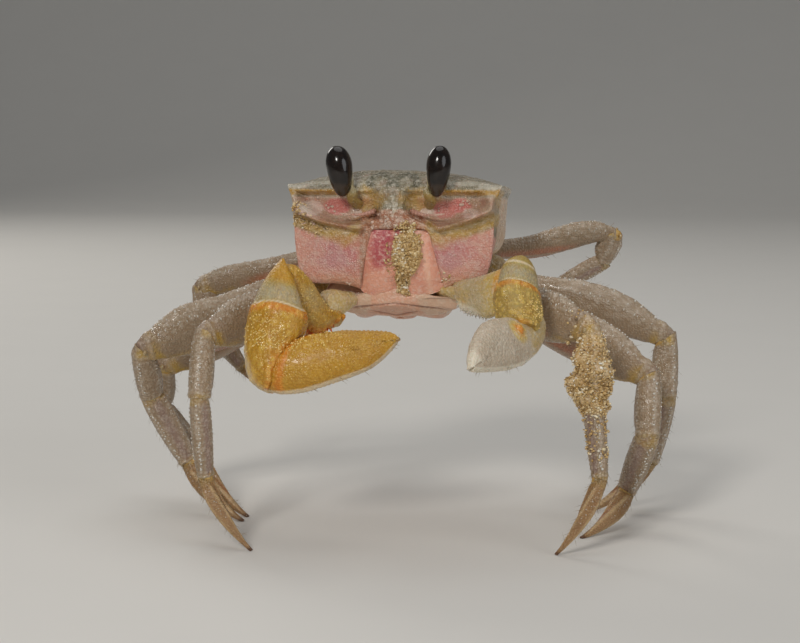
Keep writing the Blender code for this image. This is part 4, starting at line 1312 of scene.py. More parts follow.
def dress_thigh(skin, piece, seed):
    along, over_axis, beside = piece.read(skin)
    outer = -over_axis  # the outside of the leg's bend, which is its upper edge
    run = along * piece.length
    margin = smooth(0.45, 0.85, outer)
    wander = 0.5 * ripple(skin.points, 3.0, seed)
    comb = np.maximum(0.0, wave(run + wander, 1.15)) ** 1.5
    reach = smooth(0.3, 0.42, along) * fade(0.93, 0.97, along)
    skin.lift(0.13 * comb * smooth(0.3, 0.8, outer) * reach)
    small = pearls(skin.points, 0.85, 0.5, seed + 1, 0.85)
    skin.lift(0.06 * small * (0.35 + 0.65 * smooth(-0.6, 0.6, outer)))
    edge_teeth = beads(run, 0.9, outer + 0.9, 0.16) * reach
    skin.lift(0.12 * edge_teeth)
    # The rim round the knee end, with a groove behind it, and the rings of the hip.
    rim = hump(along, 0.965, 0.014)
    skin.lift(0.16 * rim - 0.14 * hump(along, 0.925, 0.016))
    for ring in (0.06, 0.13):
        skin.lift(-0.12 * hump(along, ring, 0.01))
    skin.lift(0.22 * (ripple(skin.points, 4.0, seed + 2) - 0.5))
    skin.note("bead", 0.75 * small * smooth(-0.2, 0.6, outer) + 0.35 * comb * margin * reach)
    yellow = hump(along, 0.95, 0.045) * (0.35 + 0.65 * smooth(0.4, -0.5, outer)) \
        + 0.6 * hump(outer, -0.8, 0.25) * smooth(0.5, 0.9, along)
    skin.note("joint", 0.85 * yellow + 0.5 * fade(0.1, 0.2, along))
    skin.note("pale", 0.8 * smooth(0.2, -0.6, outer) * smooth(0.1, 0.2, along) * fade(0.55, 0.85, along))
    skin.note("edge", 0.8 * hump(outer, -0.95, 0.22) + rim * 0.6 + 0.45 * margin)
    flat = hump(np.abs(beside), 0.0, 0.7) * hump(outer, 0.1, 0.5)
    skin.note("tint", 0.9 * flat * smooth(0.2, 0.5, along))
    skin.close(LEG, "leg_shell")


def keels_of(run, around, pitch, upper, lower, start, width):
    """Rows of beads down a tube on both sides of its bend's outside, at two angles from it."""
    return beads(run, pitch, around - upper, width) + beads(run + start, pitch, around - lower, width)


def dress_knee(skin, piece, seed):
    along, over_axis, beside = piece.read(skin)
    around = np.abs(np.arctan2(beside, -over_axis))  # 0 on the outside of the bend
    body = smooth(0.04, 0.12, along) * fade(0.9, 0.97, along)
    keels = keels_of(along * piece.length, around, 0.75, 0.75, 2.2, 0.3, 0.2)
    small = pearls(skin.points, 0.72, 0.5, seed)
    rim = hump(along, 0.95, 0.03) + hump(along, 0.05, 0.03)
    skin.lift(0.1 * keels * body)
    skin.lift(0.055 * small)
    skin.lift(0.1 * rim - 0.1 * hump(along, 0.87, 0.03))
    skin.note("bead", 0.6 * small + 0.8 * keels * body)
    skin.note("joint", 0.75 * fade(0.02, 0.14, along) * smooth(0.3, 1.2, around)
              + 0.4 * smooth(0.88, 0.98, along))
    skin.note("edge", 0.6 * rim)
    skin.close(LEG, "leg_shell")


def dress_shank(skin, piece, seed):
    along, over_axis, beside = piece.read(skin)
    around = np.abs(np.arctan2(beside, -over_axis))
    body = smooth(0.05, 0.12, along) * fade(0.88, 0.95, along)
    keels = keels_of(along * piece.length, around, 0.8, 0.62, 2.5, 0.35, 0.17)
    small = pearls(skin.points, 0.66, 0.5, seed)
    rim = hump(along, 0.955, 0.022)
    skin.lift(0.13 * keels * body)
    skin.lift(-0.1 * hump(around, 1.57, 0.4) * body)
    skin.lift(0.05 * small)
    skin.lift(0.1 * rim - 0.08 * hump(along, 0.9, 0.025))
    skin.note("bead", 0.6 * small + 0.9 * keels * body)
    skin.note("joint", 0.45 * fade(0.03, 0.14, along) + 0.55 * smooth(0.88, 0.98, along))
    skin.note("edge", 0.6 * rim)
    skin.note("tint", 0.8 * hump(around, 1.57, 0.5))
    skin.close(LEG, "leg_shell")


def dress_toe(skin, piece, seed):
    along, over_axis, beside = piece.read(skin)
    around = np.arctan2(beside, -over_axis)
    slim = fade(0.3, 1.0, along)
    ribs = np.cos(6.0 * around)
    body = smooth(0.06, 0.16, along) * fade(0.82, 0.97, along)
    skin.lift(0.13 * ribs * body * (0.35 + 0.65 * slim))
    skin.lift(0.04 * pearls(skin.points, 0.6, 0.5, seed) * slim)
    skin.note("bead", 0.6 * np.clip(ribs, 0.0, 1.0) * body)
    skin.note("joint", 0.8 * fade(0.02, 0.14, along))
    skin.note("tint", 0.9 * smooth(0.9, 1.0, along))
    skin.note("pale", 0.6 * hump(along, 0.6, 0.25) * hump(np.abs(around), 1.57, 0.5))
    skin.note("edge", 0.5 * np.clip(ribs, 0.0, 1.0) * body)
    skin.close(TOE, "toe_horn")


# Thickness of the sand at shares along the left second leg's pieces, in millimetres.
SAND_COAT = (
    ((0.85, 0.95, 1.0), (0.0, 0.25, 0.3)),
    ((0.0, 0.25, 0.5, 0.75, 1.0), (0.25, 0.6, 1.3, 2.2, 1.5)),
    ((0.0, 0.12, 0.26), (1.2, 0.9, 0.0)),
)


def coat_with_sand(skins, pieces):
    """The mass of wet sand round the left second leg's knee piece."""
    for k, (skin, piece, coat) in enumerate(zip(skins, pieces, SAND_COAT)):
        toward = smooth(0.3, -0.5, skin.normals[:, 1])
        mass = np.interp(piece.read(skin)[0], *coat)
        if k == 0:
            mass = mass * toward
        skin.lift(mass * sand_lumps(skin.points) * (0.75 + 0.25 * toward))
        skin.note("sandy", smooth(0.05, 0.5, mass))


def dress_leg(side_name, number):
    """One walking leg: its four skins are shaped and fitted to each other first, and then finished."""
    name = f"{side_name}_leg_{number}_"
    pieces = LIMBS[side_name, number]
    level = 4 if number in (2, 3) else 3
    seed = 100 * number + (7 if side_name == "left" else 0)
    skins = [Skin(name + part, "horn" if part == "toe" else "shell", level, 50.0, 0.6)
             for part in LEG_PARTS]
    thigh, _, shank, toe = pieces
    if (side_name, number) in THIGH_OUTLINES:
        fitted(skins[0], thigh, THIGH_OUTLINES[side_name, number])
    else:
        along, over_axis, _ = thigh.read(skins[0])
        swell = THIGH_ARCH[number] * hump(along, 0.76, 0.2) * smooth(-0.2, 0.9, -over_axis)
        skins[0].move(thigh.shift(up=-swell))
    if number == 5:
        fitted(skins[1], pieces[1], HIND_KNEE)
        along, over_axis, _ = shank.read(skins[2])
        skins[2].move(shank.shift(up=over_axis * (0.4 * fade(0.2, 1.1, along)) * shank.height / 2.0))
    along, over_axis, _ = toe.read(skins[3])
    place = np.clip(along, 0.0, 1.0)
    fuller = 0.14 * hump(place, 0.4, 0.3)
    bow = TOE_BOW * toe.length * 4.0 * place * (1.0 - place)
    skins[3].move(toe.shift(up=over_axis * fuller * toe.height / 2.0 - bow))
    for k in range(3):
        round_bend(skins[k], skins[k + 1], pieces[k], pieces[k + 1])
        tuck(skins[k + 1], pieces[k + 1])
    if (side_name, number) == ("left", 2):
        coat_with_sand(skins, pieces)
    for k, work in enumerate((dress_thigh, dress_knee, dress_shank, dress_toe)):
        work(skins[k], pieces[k], seed + 10 * k)


# The claws -----------------------------------------------------------------------------------------


def dress_foot(skin, piece, seed):
    along, over_axis, _ = piece.read(skin)
    small = pearls(skin.points, 0.75, 0.5, seed)
    skin.lift(0.05 * small - 0.12 * hump(along, 0.3, 0.04) + 0.1 * hump(along, 0.94, 0.04))
    skin.note("bead", 0.6 * small)
    skin.note("tint", 0.4 * smooth(-0.3, 0.6, over_axis) + 0.6)
    skin.note("edge", 0.3 * smooth(0.82, 0.98, along) + 0.4 * fade(0.02, 0.12, along))
    skin.close(PALE, "claw_pale")


def dress_arm(skin, piece, seed, large):
    along, over_axis, beside = piece.read(skin)
    run = along * piece.length
    around = np.abs(np.arctan2(beside, over_axis))
    small = pearls(skin.points, 0.8, 0.5, seed)
    skin.lift(0.06 * small)
    teeth = keels_of(run, around, 0.85, 0.9, 2.3, 0.4, 0.22)
    skin.lift(0.16 * teeth * smooth(0.05, 0.15, along))
    outline = ARM_OUTLINE if large else SMALL_ARM_OUTLINE
    low = smooth(-0.45, -0.1, over_axis - edge_of(outline, along, 2))
    saw = low * (0.5 + 0.5 * wave(run, 1.05)) * hump(along, 0.08, 0.3)
    skin.lift(0.75 * saw)
    skin.lift(0.14 * hump(along, 0.95, 0.025) - 0.12 * hump(along, 0.88, 0.03))
    skin.note("bead", 0.6 * small + 0.5 * teeth)
    if large:
        skin.note("joint", 0.3 * teeth + 1.0 * low * hump(along, 0.1, 0.34))
        skin.note("tint", 0.5 * hump(along, 0.5, 0.35))
        skin.note("pale", 0.45 * hump(along, 0.5, 0.3) * hump(over_axis, 0.0, 0.7))
    else:
        skin.note("joint", 0.5 * hump(along, 0.16, 0.08) * smooth(-0.2, 0.6, over_axis)
                  + 0.8 * hump(along, 0.84, 0.07))
        skin.note("tint", 0.62 + 0.38 * smooth(0.55, 0.75, along))
        skin.note("pale", 0.5 * hump(along, 0.35, 0.3))
        skin.note("edge", 0.9 * low * fade(0.3, 0.5, along))
    skin.close(GOLD if large else PALE, "claw_gold")


def dress_wrist(skin, piece, seed, large):
    along, over_axis, beside = piece.read(skin)
    run = along * piece.length
    around = np.arctan2(beside, over_axis)
    # How far under the step between the pale and the golden part a point is.
    if large:
        x, _, z = skin.points.T
        line = 46.4 - 0.06 * (x + 21.3) ** 2 - z
    else:
        line = (along - 0.24) * piece.length - 0.5 * beside ** 2
    below = smooth(-0.1, 0.25, line)
    coarse = pearls(skin.points, 1.15, 0.52, seed, 0.7) * below
    small = pearls(skin.points, 0.7, 0.5, seed + 1)
    skin.lift(0.3 * below * hump(line, 0.0, 3.0)
              + (0.13 * coarse + 0.06 * small) * (0.4 + 0.6 * below))
    teeth = beads(run, 0.9, np.abs(around) - 1.3, 0.16)
    skin.lift(0.13 * teeth * below)
    skin.lift(0.12 * hump(along, 0.95, 0.03) - 0.1 * hump(along, 0.87, 0.03))
    skin.note("bead", 0.4 * small + 0.9 * coarse)
    skin.note("pale", 0.95 * hump(line, -1.7, 1.6) * (1.0 - below))
    if large:
        lower, upper = (edge_of(WRIST_OUTLINE, along, edge) for edge in (1, 2))
        ends = 0.8 * hump(over_axis, upper, 0.3) * smooth(0.7, 0.85, along)
        rim = hump(over_axis, lower, 0.14 + 0.2 * smooth(0.8, 1.3, along)) * smooth(0.5, 0.8, along)
        skin.note("tint", 0.7 * (1.0 - below) * fade(3.0, 5.0, -line))
    else:
        ends = hump(over_axis, 0.75, 0.5) * smooth(0.95, 1.1, along)
        rim = hump(line, -4.2, 0.4)
        skin.note("tint", 0.66 + 0.34 * (1.0 - below) * fade(4.2, 4.8, -line))
    band = hump(line, 0.7, 0.8) * below * (1.0 if large else 0.8)
    skin.note("joint", band + ends + 0.3 * teeth * below)
    skin.note("edge", 0.9 * hump(line, -0.15, 0.22) + 0.9 * rim)
    skin.close(GOLD, "claw_gold")


def dress_hand(skin, piece, part, seed, large):
    along, over_axis, beside = piece.read(skin)
    run = along * piece.length
    small = pearls(skin.points, 0.62, 0.5, seed)
    coarse = pearls(skin.points, 1.0, 0.52, seed + 1, 0.6) * fade(0.4, 0.7, along)
    coarse = coarse * smooth(-0.3, 0.3, over_axis) if large else coarse
    skin.lift(0.05 * small + 0.1 * coarse)
    thin = fade(0.0, 0.35, np.abs(beside))
    facing = skin.normals @ np.array(piece.up)
    under = smooth(0.5, 0.9, -facing)
    upper = smooth(0.5, 0.9, facing)
    if part == "hand":
        rim = under * smooth(0.08, 0.16, along)
        cutting = upper * smooth(0.56, 0.6, along)
    else:
        rim = upper
        cutting = under * smooth(0.6, 0.66, along)
    teeth = rim * (0.5 + 0.5 * wave(run, 0.8))
    biting = cutting * (0.5 + 0.5 * wave(run, 1.25)) ** 2
    skin.lift(0.17 * teeth * thin + 0.12 * biting * thin)
    skin.note("bead", 0.45 * small + 0.8 * coarse)
    from_hinge = np.linalg.norm(skin.points - np.array(LEFT_CONDYLE), axis=1)
    if part == "hand":
        outline = HAND_OUTLINE if large else SMALL_HAND_OUTLINE
        skin.note("edge", 0.95 * fade(0.03, 0.12, over_axis - edge_of(outline, along, 1)))
        base = along - np.interp(over_axis, *HAND_BASE)
        if large:
            crescent = hump(base, 0.03, 0.035)
        else:
            crescent = 0.8 * fade(0.9, 2.4, from_hinge)
        skin.lift(0.12 * crescent)
        skin.note("joint", crescent)
    else:
        skin.note("edge", 0.6 * smooth(0.9, 1.02, along) + 0.3 * rim)
    if not large:
        near_hinge = fade(1.5, 3.4, from_hinge)
        skin.note("tint", np.maximum(0.9 * near_hinge, 0.55 * fade(0.02, 0.3, along)))
    skin.close(GOLD if large else PALE, "claw_gold" if large else "claw_pale")


def fit_hand(hand_skin, finger_skin, piece, side_name):
    """Closes the finger on the hand, so that the two make one leaf shape."""
    outline = HAND_OUTLINE if side_name == "right" else SMALL_HAND_OUTLINE
    places, heights = JAW_LINES[side_name]
    tip = outline[-1][0]
    spots = np.unique(np.concatenate([[row[0] for row in outline], (0.5, 0.54, 0.58, 0.62)]))
    jaw = np.interp(spots, places, heights)
    lows, highs = edge_of(outline, spots, 1), edge_of(outline, spots, 2)
    closed = smooth(0.53, 0.59, spots)
    hand_highs = highs * (1.0 - closed) + (jaw + 0.09) * closed + 0.24 * hump(spots, 0.62, 0.12)
    hand_highs = np.minimum(np.maximum(hand_highs, lows + 0.02), highs - 0.01)
    start = (0.2, outline[0][0]) if side_name == "left" else (0.1, outline[0][0])
    fitted(hand_skin, piece, list(zip(spots, lows, hand_highs)), start, (0.62, tip - 0.02))
    finger_lows = np.minimum(jaw - 0.1 - 0.3 * fade(0.64, 0.8, spots), highs - 0.02)
    finger_lows = np.maximum(finger_lows, lows + 0.02)
    fitted(finger_skin, piece, list(zip(spots, finger_lows, highs)), (0.68, 0.46), (0.68, tip))


def leafed(skin, piece, side_name):
    """Fills out the faces of a flat claw, so that hand and finger swell as one leaf."""
    outline = HAND_OUTLINE if side_name == "right" else SMALL_HAND_OUTLINE
    along, over_axis, beside = piece.read(skin)
    low, high = edge_of(outline, along, 1), edge_of(outline, along, 2)
    share = np.clip((over_axis - low) / np.maximum(high - low, 0.05), 0.0, 1.0)
    swell = np.maximum(1.0 - np.abs(2.0 * share - 1.0) ** 2.6, 0.0) ** 0.5
    tip = outline[-1][0]
    thick = np.interp(along, (-0.4, 0.0, 0.5, tip - 0.12, tip), (0.75, 1.0, 0.95, 0.5, 0.22))
    flat = smooth(0.02, 0.2, np.abs(skin.normals @ np.array(piece.side))) * smooth(0.36, 0.58, along)
    skin.move(piece.shift(side=(np.sign(beside) * swell * thick - beside) * flat * piece.thickness / 2.0))


def dress_claw(side_name):
    """One claw arm: its skins are shaped and fitted to each other first, and then finished."""
    name = side_name + "_claw_"
    pieces = LIMBS[side_name, 1]
    foot, arm, wrist, hand = pieces
    large = side_name == "right"
    seed = 700 + (50 if large else 0)
    skins = {part: Skin(name + part, "shell", 4, 48.0, 0.5) for part in CLAW_PARTS + ("finger",)}
    for k, part in enumerate(CLAW_PARTS[1:]):
        tuck(skins[part], pieces[k + 1], 0.5, 0.02)
    if large:
        fitted(skins["arm"], arm, ARM_OUTLINE, (0.3, -0.12), (0.7, 0.95))
        fitted(skins["foot"], foot, FOOT_OUTLINE)
        fitted(skins["wrist"], wrist, WRIST_OUTLINE, (0.1, -0.26), (0.5, 1.43))
    else:
        over_axis = foot.read(skins["foot"])[1]
        skins["foot"].move(foot.shift(up=-0.55 * over_axis * foot.height / 2.0) + np.array(FOOT_TUCK))
        fitted(skins["arm"], arm, SMALL_ARM_OUTLINE, (0.35, -0.17), (0.9, 1.12))
        # The wrist ends in a lobe over the hinge, and is cut back beside it.
        along, over_axis, _ = wrist.read(skins["wrist"])
        raised = 1.3 * fade(0.0, 0.35, along)
        cut = 0.6 * np.maximum(along - 0.55, 0.0) * smooth(-0.2, -0.6, over_axis)
        toward = smooth(0.2, -0.4, skins["wrist"].normals[:, 1])
        lobe = smooth(0.7, 1.0, along) * hump(over_axis, 0.75, 0.5) * toward
        skins["wrist"].move(np.outer(raised, (0.0, 0.0, 1.0))
                            + wrist.shift(along=2.0 * lobe - cut * wrist.length)
                            + np.outer(lobe, (0.3, -1.0, 0.0)))
    fit_hand(skins["hand"], skins["finger"], hand, side_name)
    for part in ("hand", "finger"):
        leafed(skins[part], hand, side_name)
    dress_foot(skins["foot"], foot, seed)
    dress_arm(skins["arm"], arm, seed + 1, large)
    dress_wrist(skins["wrist"], wrist, seed + 2, large)
    dress_hand(skins["hand"], hand, "hand", seed + 4, large)
    dress_hand(skins["finger"], hand, "finger", seed + 4, large)


# Skins and knobs of the joints ---------------------------------------------------------------------


SLEEVE_RINGS = 9


def ring_place(middle, course, side, wide, high):
    """Where a unit circle goes to become an oval ring square to course."""
    up = side.cross(course).normalized()
    across = course.cross(up).normalized()
    turn = Matrix((across * wide * MM, up * high * MM, course * MM)).transposed().to_4x4()
    return Matrix.Translation(middle * MM) @ turn


def rim_of(edges, ring):
    """Those of the edges that run between a ring's corners."""
    return [edge for edge in edges if edge.verts[0] in ring and edge.verts[1] in ring]


def extruded(bm, rim):
    """Pulls a rim out by its edges: the corners and the edges of its new end."""
    geometry = bmesh.ops.extrude_edge_only(bm, edges=rim)["geom"]
    ring = [item for item in geometry if isinstance(item, bmesh.types.BMVert)]
    return ring, rim_of([item for item in geometry if isinstance(item, bmesh.types.BMEdge)], ring)


def sleeve(bm, near, far):
    """A pleated sleeve of skin from inside the end of one piece to inside the start of the next."""
    before = set(bm.verts)
    ring = bmesh.ops.create_circle(bm, cap_ends=False, radius=1.0, segments=20)["verts"]
    rim = rim_of(bm.edges, ring)
    now = Matrix.Identity(4)
    folded = (near.course + far.course).length <= 0.3
    wide = 0.37 * min(near.thickness, far.thickness)
    high = 0.33 * min(near.height, far.height)
    for k in range(SLEEVE_RINGS):
        share = k / (SLEEVE_RINGS - 1)
        course = near.course + far.course if folded else near.course.lerp(far.course, share)
        middle = near.end - near.course * 1.6 * (1.0 - share) ** 1.4 + far.course * 1.6 * share ** 1.4
        pleat = 1.0 + 0.06 * math.cos(4.0 * math.pi * share * 2.0)
        swell = (0.86 + 0.3 * math.sin(math.pi * share)) * pleat
        place = ring_place(middle, course.normalized(), near.side, wide * swell, high * swell)
        if k:
            ring, rim = extruded(bm, rim)
        bmesh.ops.transform(bm, matrix=place @ now.inverted(), verts=ring)
        now = place
    open_edges = {edge for edge in bm.edges if edge.is_boundary and edge.verts[0] not in before}
    bmesh.ops.holes_fill(bm, edges=list(open_edges))


def knobs(bm, near, far):
    """The two small hinge knobs on the sides of a joint."""
    for turn in (-1.0, 1.0):
        reach = 0.44 * min(near.thickness, far.thickness)
        middle = near.end + near.side * turn * reach
        place = Matrix.Translation(middle * MM) @ Matrix.Scale(0.06 * min(near.height, far.height) + 0.14, 4)
        made = bmesh.ops.create_icosphere(bm, subdivisions=2, radius=MM, matrix=place)
        bmesh.ops.scale(bm, vec=(1.0, 1.0, 1.25), space=Matrix.Translation(-middle * MM),
                        verts=made["verts"])


def finished(name, bm, finish):
    """A bmesh in metres becomes a piece that rides on the frame."""
    bmesh.ops.recalc_face_normals(bm, faces=bm.faces)
    mesh = mesh_of(name, bm)
    mesh.shade_smooth()
    mesh.materials.append(finish)
    made = in_scene(name, mesh)
    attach(made, "root")


def limb_name(side_name, number):
    """How the names of a limb's pieces start."""
    return f"{side_name}_claw" if number == 1 else f"{side_name}_leg_{number}"


def joint_pieces(side_name, number):
    """The skins in one limb's joints, and the hinge knobs beside them."""
    pieces = LIMBS[side_name, number]
    name = limb_name(side_name, number)
    skins = bmesh.new()
    caps = bmesh.new()
    for near, far in zip(pieces, pieces[1:]):
        if number == 1 and (near is pieces[1] or side_name == "left" and near is pieces[0]):
            continue  # these joints are closed up
        sleeve(skins, near, far)
        if number > 1:
            knobs(caps, near, far)
    if (side_name, number) == ("left", 1):
        place = Matrix.Translation(LEFT_CONDYLE * MM) @ Matrix.Diagonal((1.0, 0.8, 1.15, 1.0))
        bmesh.ops.create_icosphere(caps, subdivisions=2, radius=0.95 * MM, matrix=place)
    finished(name + "_joint_skins", skins, JOINT_SKIN)
    if caps.verts:
        finished(name + "_joint_knobs", caps, KNOB if number == 1 else LEG_KNOB)
    else:
        caps.free()


# Beads ---------------------------------------------------------------------------------------------


def bead_shape():
    """A round bead of one millimetre's radius."""
    bm = bmesh.new()
    bmesh.ops.create_uvsphere(bm, u_segments=8, v_segments=5, radius=MM)
    return mesh_of("bead", bm)


BEAD = bead_shape()
# Rows of beads on a leg's pieces: angles from the crest, share along at each end, pitch, radius and
# stretch across.
BEAD_ROWS = {
    "thigh": (((0.0,), 0.26, 0.94, 0.68, 0.21, 1.2), ((-0.5, 0.5), 0.4, 0.93, 0.95, 0.13, 1.9),
              ((3.14,), 0.3, 0.92, 1.0, 0.11, 1.0)),
    "knee": (((-0.7, 0.7), 0.1, 0.92, 0.66, 0.19, 1.1), ((0.0,), 0.12, 0.9, 0.95, 0.12, 1.2),
             ((-2.3, 2.3), 0.15, 0.9, 0.9, 0.12, 1.0)),
    "shank": (((-0.62, 0.62), 0.06, 0.93, 0.62, 0.2, 1.1), ((-0.8, 0.45), 0.1, 0.9, 1.2, 0.13, 1.0),
              ((-2.5, 2.5), 0.1, 0.9, 0.85, 0.12, 1.0)),
    "toe": (((-0.5, 0.5), 0.08, 0.6, 0.8, 0.1, 1.0),),
}


def picks(weight, count, chance):
    """Points drawn by chance, most where weight is high."""
    total = np.cumsum(weight)
    for _ in range(count):
        yield int(np.searchsorted(total, chance.random() * total[-1]))


def set_bead(bm, skin, at, sunk, radius, course=Vector((1.0, 0.0, 0.0)), stretch=1.0):
    """One bead lying on a skin at one of its points, drawn out across the limb."""
    out = Vector(skin.normals[at])
    middle = Vector(skin.points[at]) + out * sunk * radius
    across = out.cross(course).normalized()
    ahead = across.cross(out).normalized()
    turn = Matrix((ahead, across, out.normalized())).transposed().to_4x4()
    count = len(bm.verts)
    bm.from_mesh(BEAD)
    bm.verts.ensure_lookup_table()
    size = Matrix.Diagonal((radius, radius * stretch, radius * 0.8, 1.0))
    place = Matrix.Translation(middle * MM) @ turn @ size
    bmesh.ops.transform(bm, matrix=place, verts=bm.verts[count:])


def under_sand(part, along):
    """Whether a place on the left second leg is under its sand."""
    return part == "knee" or (part == "thigh" and along > 0.86) or (part == "shank" and along < 0.2)


def leg_beads(side_name, number):
    """The rows of beads along one leg's edges, painted near white as highlights."""
    chance = random.Random(400 + number * 2 + SIDES[side_name])
    bm = bmesh.new()
    small = 0.8 if number == 5 else 1.0
    for part, piece in zip(LEG_PARTS, LIMBS[side_name, number]):
        skin = SKINS[f"{side_name}_leg_{number}_{part}"]
        along, over_axis, beside = piece.read(skin)
        around = np.arctan2(beside * piece.thickness, -over_axis * piece.height)
        for angles, low, high, pitch, radius, stretch in BEAD_ROWS[part]:
            for angle in angles:
                for k in range(int((high - low) * piece.length / pitch)):
                    at = low + (k + chance.uniform(-0.4, 0.4)) * pitch / piece.length
                    bearing = angle + chance.uniform(-0.13, 0.13)
                    off = np.abs((around - bearing + math.pi) % (2.0 * math.pi) - math.pi)
                    nearest = int(np.argmin(((along - at) * piece.length) ** 2 + (off * 1.6) ** 2))
                    size = radius * small * chance.uniform(0.55, 1.2)
                    covered = (side_name, number) == ("left", 2) and under_sand(part, at)
                    if covered or chance.random() < 0.1:
                        continue
                    set_bead(bm, skin, nearest, 0.2, size, piece.course, stretch)
    finished(f"{side_name}_leg_{number}_beads", bm, LEG_BEADS)


# Where a claw's beads lie: piece, share along and height of their middle, spread of both, and count.
CLAW_BEADS = (("wrist", (0.72, -0.1), (0.16, 0.55), 150), ("hand", (0.3, 0.35), (0.14, 0.4), 90),
              ("arm", (0.5, 0.0), (0.3, 0.8), 50))


def claw_beads(side_name):
    """Golden beads strewn over the front of a claw, on the small one over its wrist alone, painted pale as
    highlights.
    """
    chance = random.Random(450 + SIDES[side_name])
    bm = bmesh.new()
    for part, middle, spread, count in CLAW_BEADS[:1] if side_name == "left" else CLAW_BEADS:
        piece = LIMBS[side_name, 1][CLAW_PARTS.index(part)]
        skin = SKINS[f"{side_name}_claw_{part}"]
        along, over_axis, _ = piece.read(skin)
        weight = hump(along, middle[0], spread[0]) * hump(over_axis, middle[1], spread[1]) \
            * smooth(0.2, -0.3, skin.normals[:, 1])
        for at in picks(weight, count, chance):
            set_bead(bm, skin, at, 0.2, chance.uniform(0.1, 0.2), piece.course)
    finished(side_name + "_claw_beads", bm, GOLD_BEADS)


def arm_teeth(side_name):
    """The saw teeth along the lower margin of a claw's arm."""
    large = side_name == "right"
    chance = random.Random(470 + SIDES[side_name])
    bm = bmesh.new()
    arm = LIMBS[side_name, 1][1]
    skin = SKINS[side_name + "_claw_arm"]
    along, over_axis, beside = arm.read(skin)
    start, end = (-0.08, 0.62) if large else (-0.15, 0.42)
    size = 1.0 if large else 0.8
    for lane in (-0.25, 0.3):
        at = start
        while at < end:
            near = np.abs(along - at) * arm.length < 0.35
            score = np.where(near, over_axis - 0.5 * np.abs(beside - lane), -9.0)
            nearest = int(np.argmax(score))
            out = (Vector(skin.normals[nearest]) + 0.7 * arm.up - 0.25 * arm.course).normalized()
            height = size * chance.uniform(0.55, 0.95)
            middle = Vector(skin.points[nearest]) + out * 0.3 * height
            turn = out.to_track_quat("Z", "Y").to_matrix().to_4x4()
            bmesh.ops.create_cone(bm, cap_ends=True, segments=7, radius1=0.3 * size * MM,
                                  radius2=0.05 * MM, depth=height * MM,
                                  matrix=Matrix.Translation(middle * MM) @ turn)
            at += chance.uniform(0.5, 0.8) / arm.length
    # The small claw's teeth take the near-white bead finish: partly their own pale serrated edge, partly painted
    # highlight.
    finished(side_name + "_claw_arm_teeth", bm, TEETH if large else LEG_BEADS)


# Where drops stand on the face: middle and spread, in the body's x and z, and how many.
DROP_PLACES = (((-7.3, 20.4), (1.0, 0.6), 7), ((7.0, 20.4), (1.2, 0.6), 8), ((14.4, 20.2),
               (1.0, 0.7), 6),
               ((-12.6, 21.8), (1.6, 0.8), 6), ((12.6, 21.8), (1.6, 0.8), 6),
               ((0.0, 18.6), (3.2, 1.2), 22), ((-8.4, 6.6), (0.8, 0.8), 5),
               ((-17.0, 19.0), (1.2, 1.6), 10))


def wet_beads():
    """The droplets that stand in the folds of the sockets and round the mouth."""
    chance = random.Random(481)
    bm = bmesh.new()
    skin = SKINS["carapace"]
    x, y, z = skin.in_body().T
    face = smooth(-0.1, -0.5, skin.facing()[:, 1]) * ahead_of(y)
    for middle, spread, count in DROP_PLACES:
        weight = face * hump(x, middle[0], spread[0]) * hump(z, middle[1], spread[1])
        for at in picks(weight, count, chance):
            set_bead(bm, skin, at, 0.1, chance.uniform(0.16, 0.36))
    finished("face_droplets", bm, DROPS)


# Bristles ------------------------------------------------------------------------------------------


def bristle_shape():
    """One short curved bristle, pointing along z from the origin, a unit long and 0.1 thick."""
    bm = bmesh.new()
    bmesh.ops.create_circle(bm, cap_ends=True, radius=0.05, segments=3)
    rim = list(bm.edges)
    for width, height, lean in ((0.8, 0.4, 0.06), (0.45, 0.4, 0.14)):
        ring, rim = extruded(bm, rim)
        middle = sum((vert.co for vert in ring), Vector()) / len(ring)
        bmesh.ops.scale(bm, vec=(width, width, 1.0), space=Matrix.Translation(-middle), verts=ring)
        bmesh.ops.translate(bm, vec=(lean, 0.0, height), verts=ring)
    ring, rim = extruded(bm, rim)
    middle = sum((vert.co for vert in ring), Vector()) / len(ring)
    bmesh.ops.pointmerge(bm, verts=ring, merge_co=middle + Vector((0.12, 0.0, 0.2)))
    bmesh.ops.recalc_face_normals(bm, faces=bm.faces)
    return mesh_of("bristle", bm)


BRISTLE = bristle_shape()
# Bristles on each piece of a limb.
BRISTLES = {"thigh": 26, "knee": 26, "shank": 60, "toe": 70,
            "foot": 8, "arm": 20, "wrist": 14, "hand": 26}
BRISTLES_UP_BELOW = 3.0  # near the floor they point up, so that none goes through it
UNWRAP_LIMBS = 10  # columns of the unwrap, one for each limb
UNWRAP_PATCH = ((0.0, 0.0), (0.003, 0.0), (0.003, 0.003), (0.0, 0.003))


def plant(bm, layer, root, way, length, thick, unwrap, chance):
    """Sets one bristle on a root, pointing along way, with its own small patch of the unwrap."""
    way = (way + Vector([chance.uniform(-0.25, 0.25) for _ in range(3)])).normalized()
    turn = way.to_track_quat("Z", "X").to_matrix().to_4x4()
    spin = Matrix.Rotation(chance.uniform(0.0, 2.0 * math.pi), 4, "Z")
    size = Matrix.Diagonal((thick * 10.0 * MM, thick * 10.0 * MM, length * MM, 1.0))
    count = len(bm.verts)
    faces = len(bm.faces)
    bm.from_mesh(BRISTLE)
    bm.verts.ensure_lookup_table()
    bm.faces.ensure_lookup_table()
    place = Matrix.Translation((root - way * 0.05) * MM) @ turn @ spin @ size
    bmesh.ops.transform(bm, matrix=place, verts=bm.verts[count:])
    for face in bm.faces[faces:]:
        for loop, corner in zip(face.loops, UNWRAP_PATCH):
            loop[layer].uv = (unwrap[0] + corner[0], unwrap[1] + corner[1])


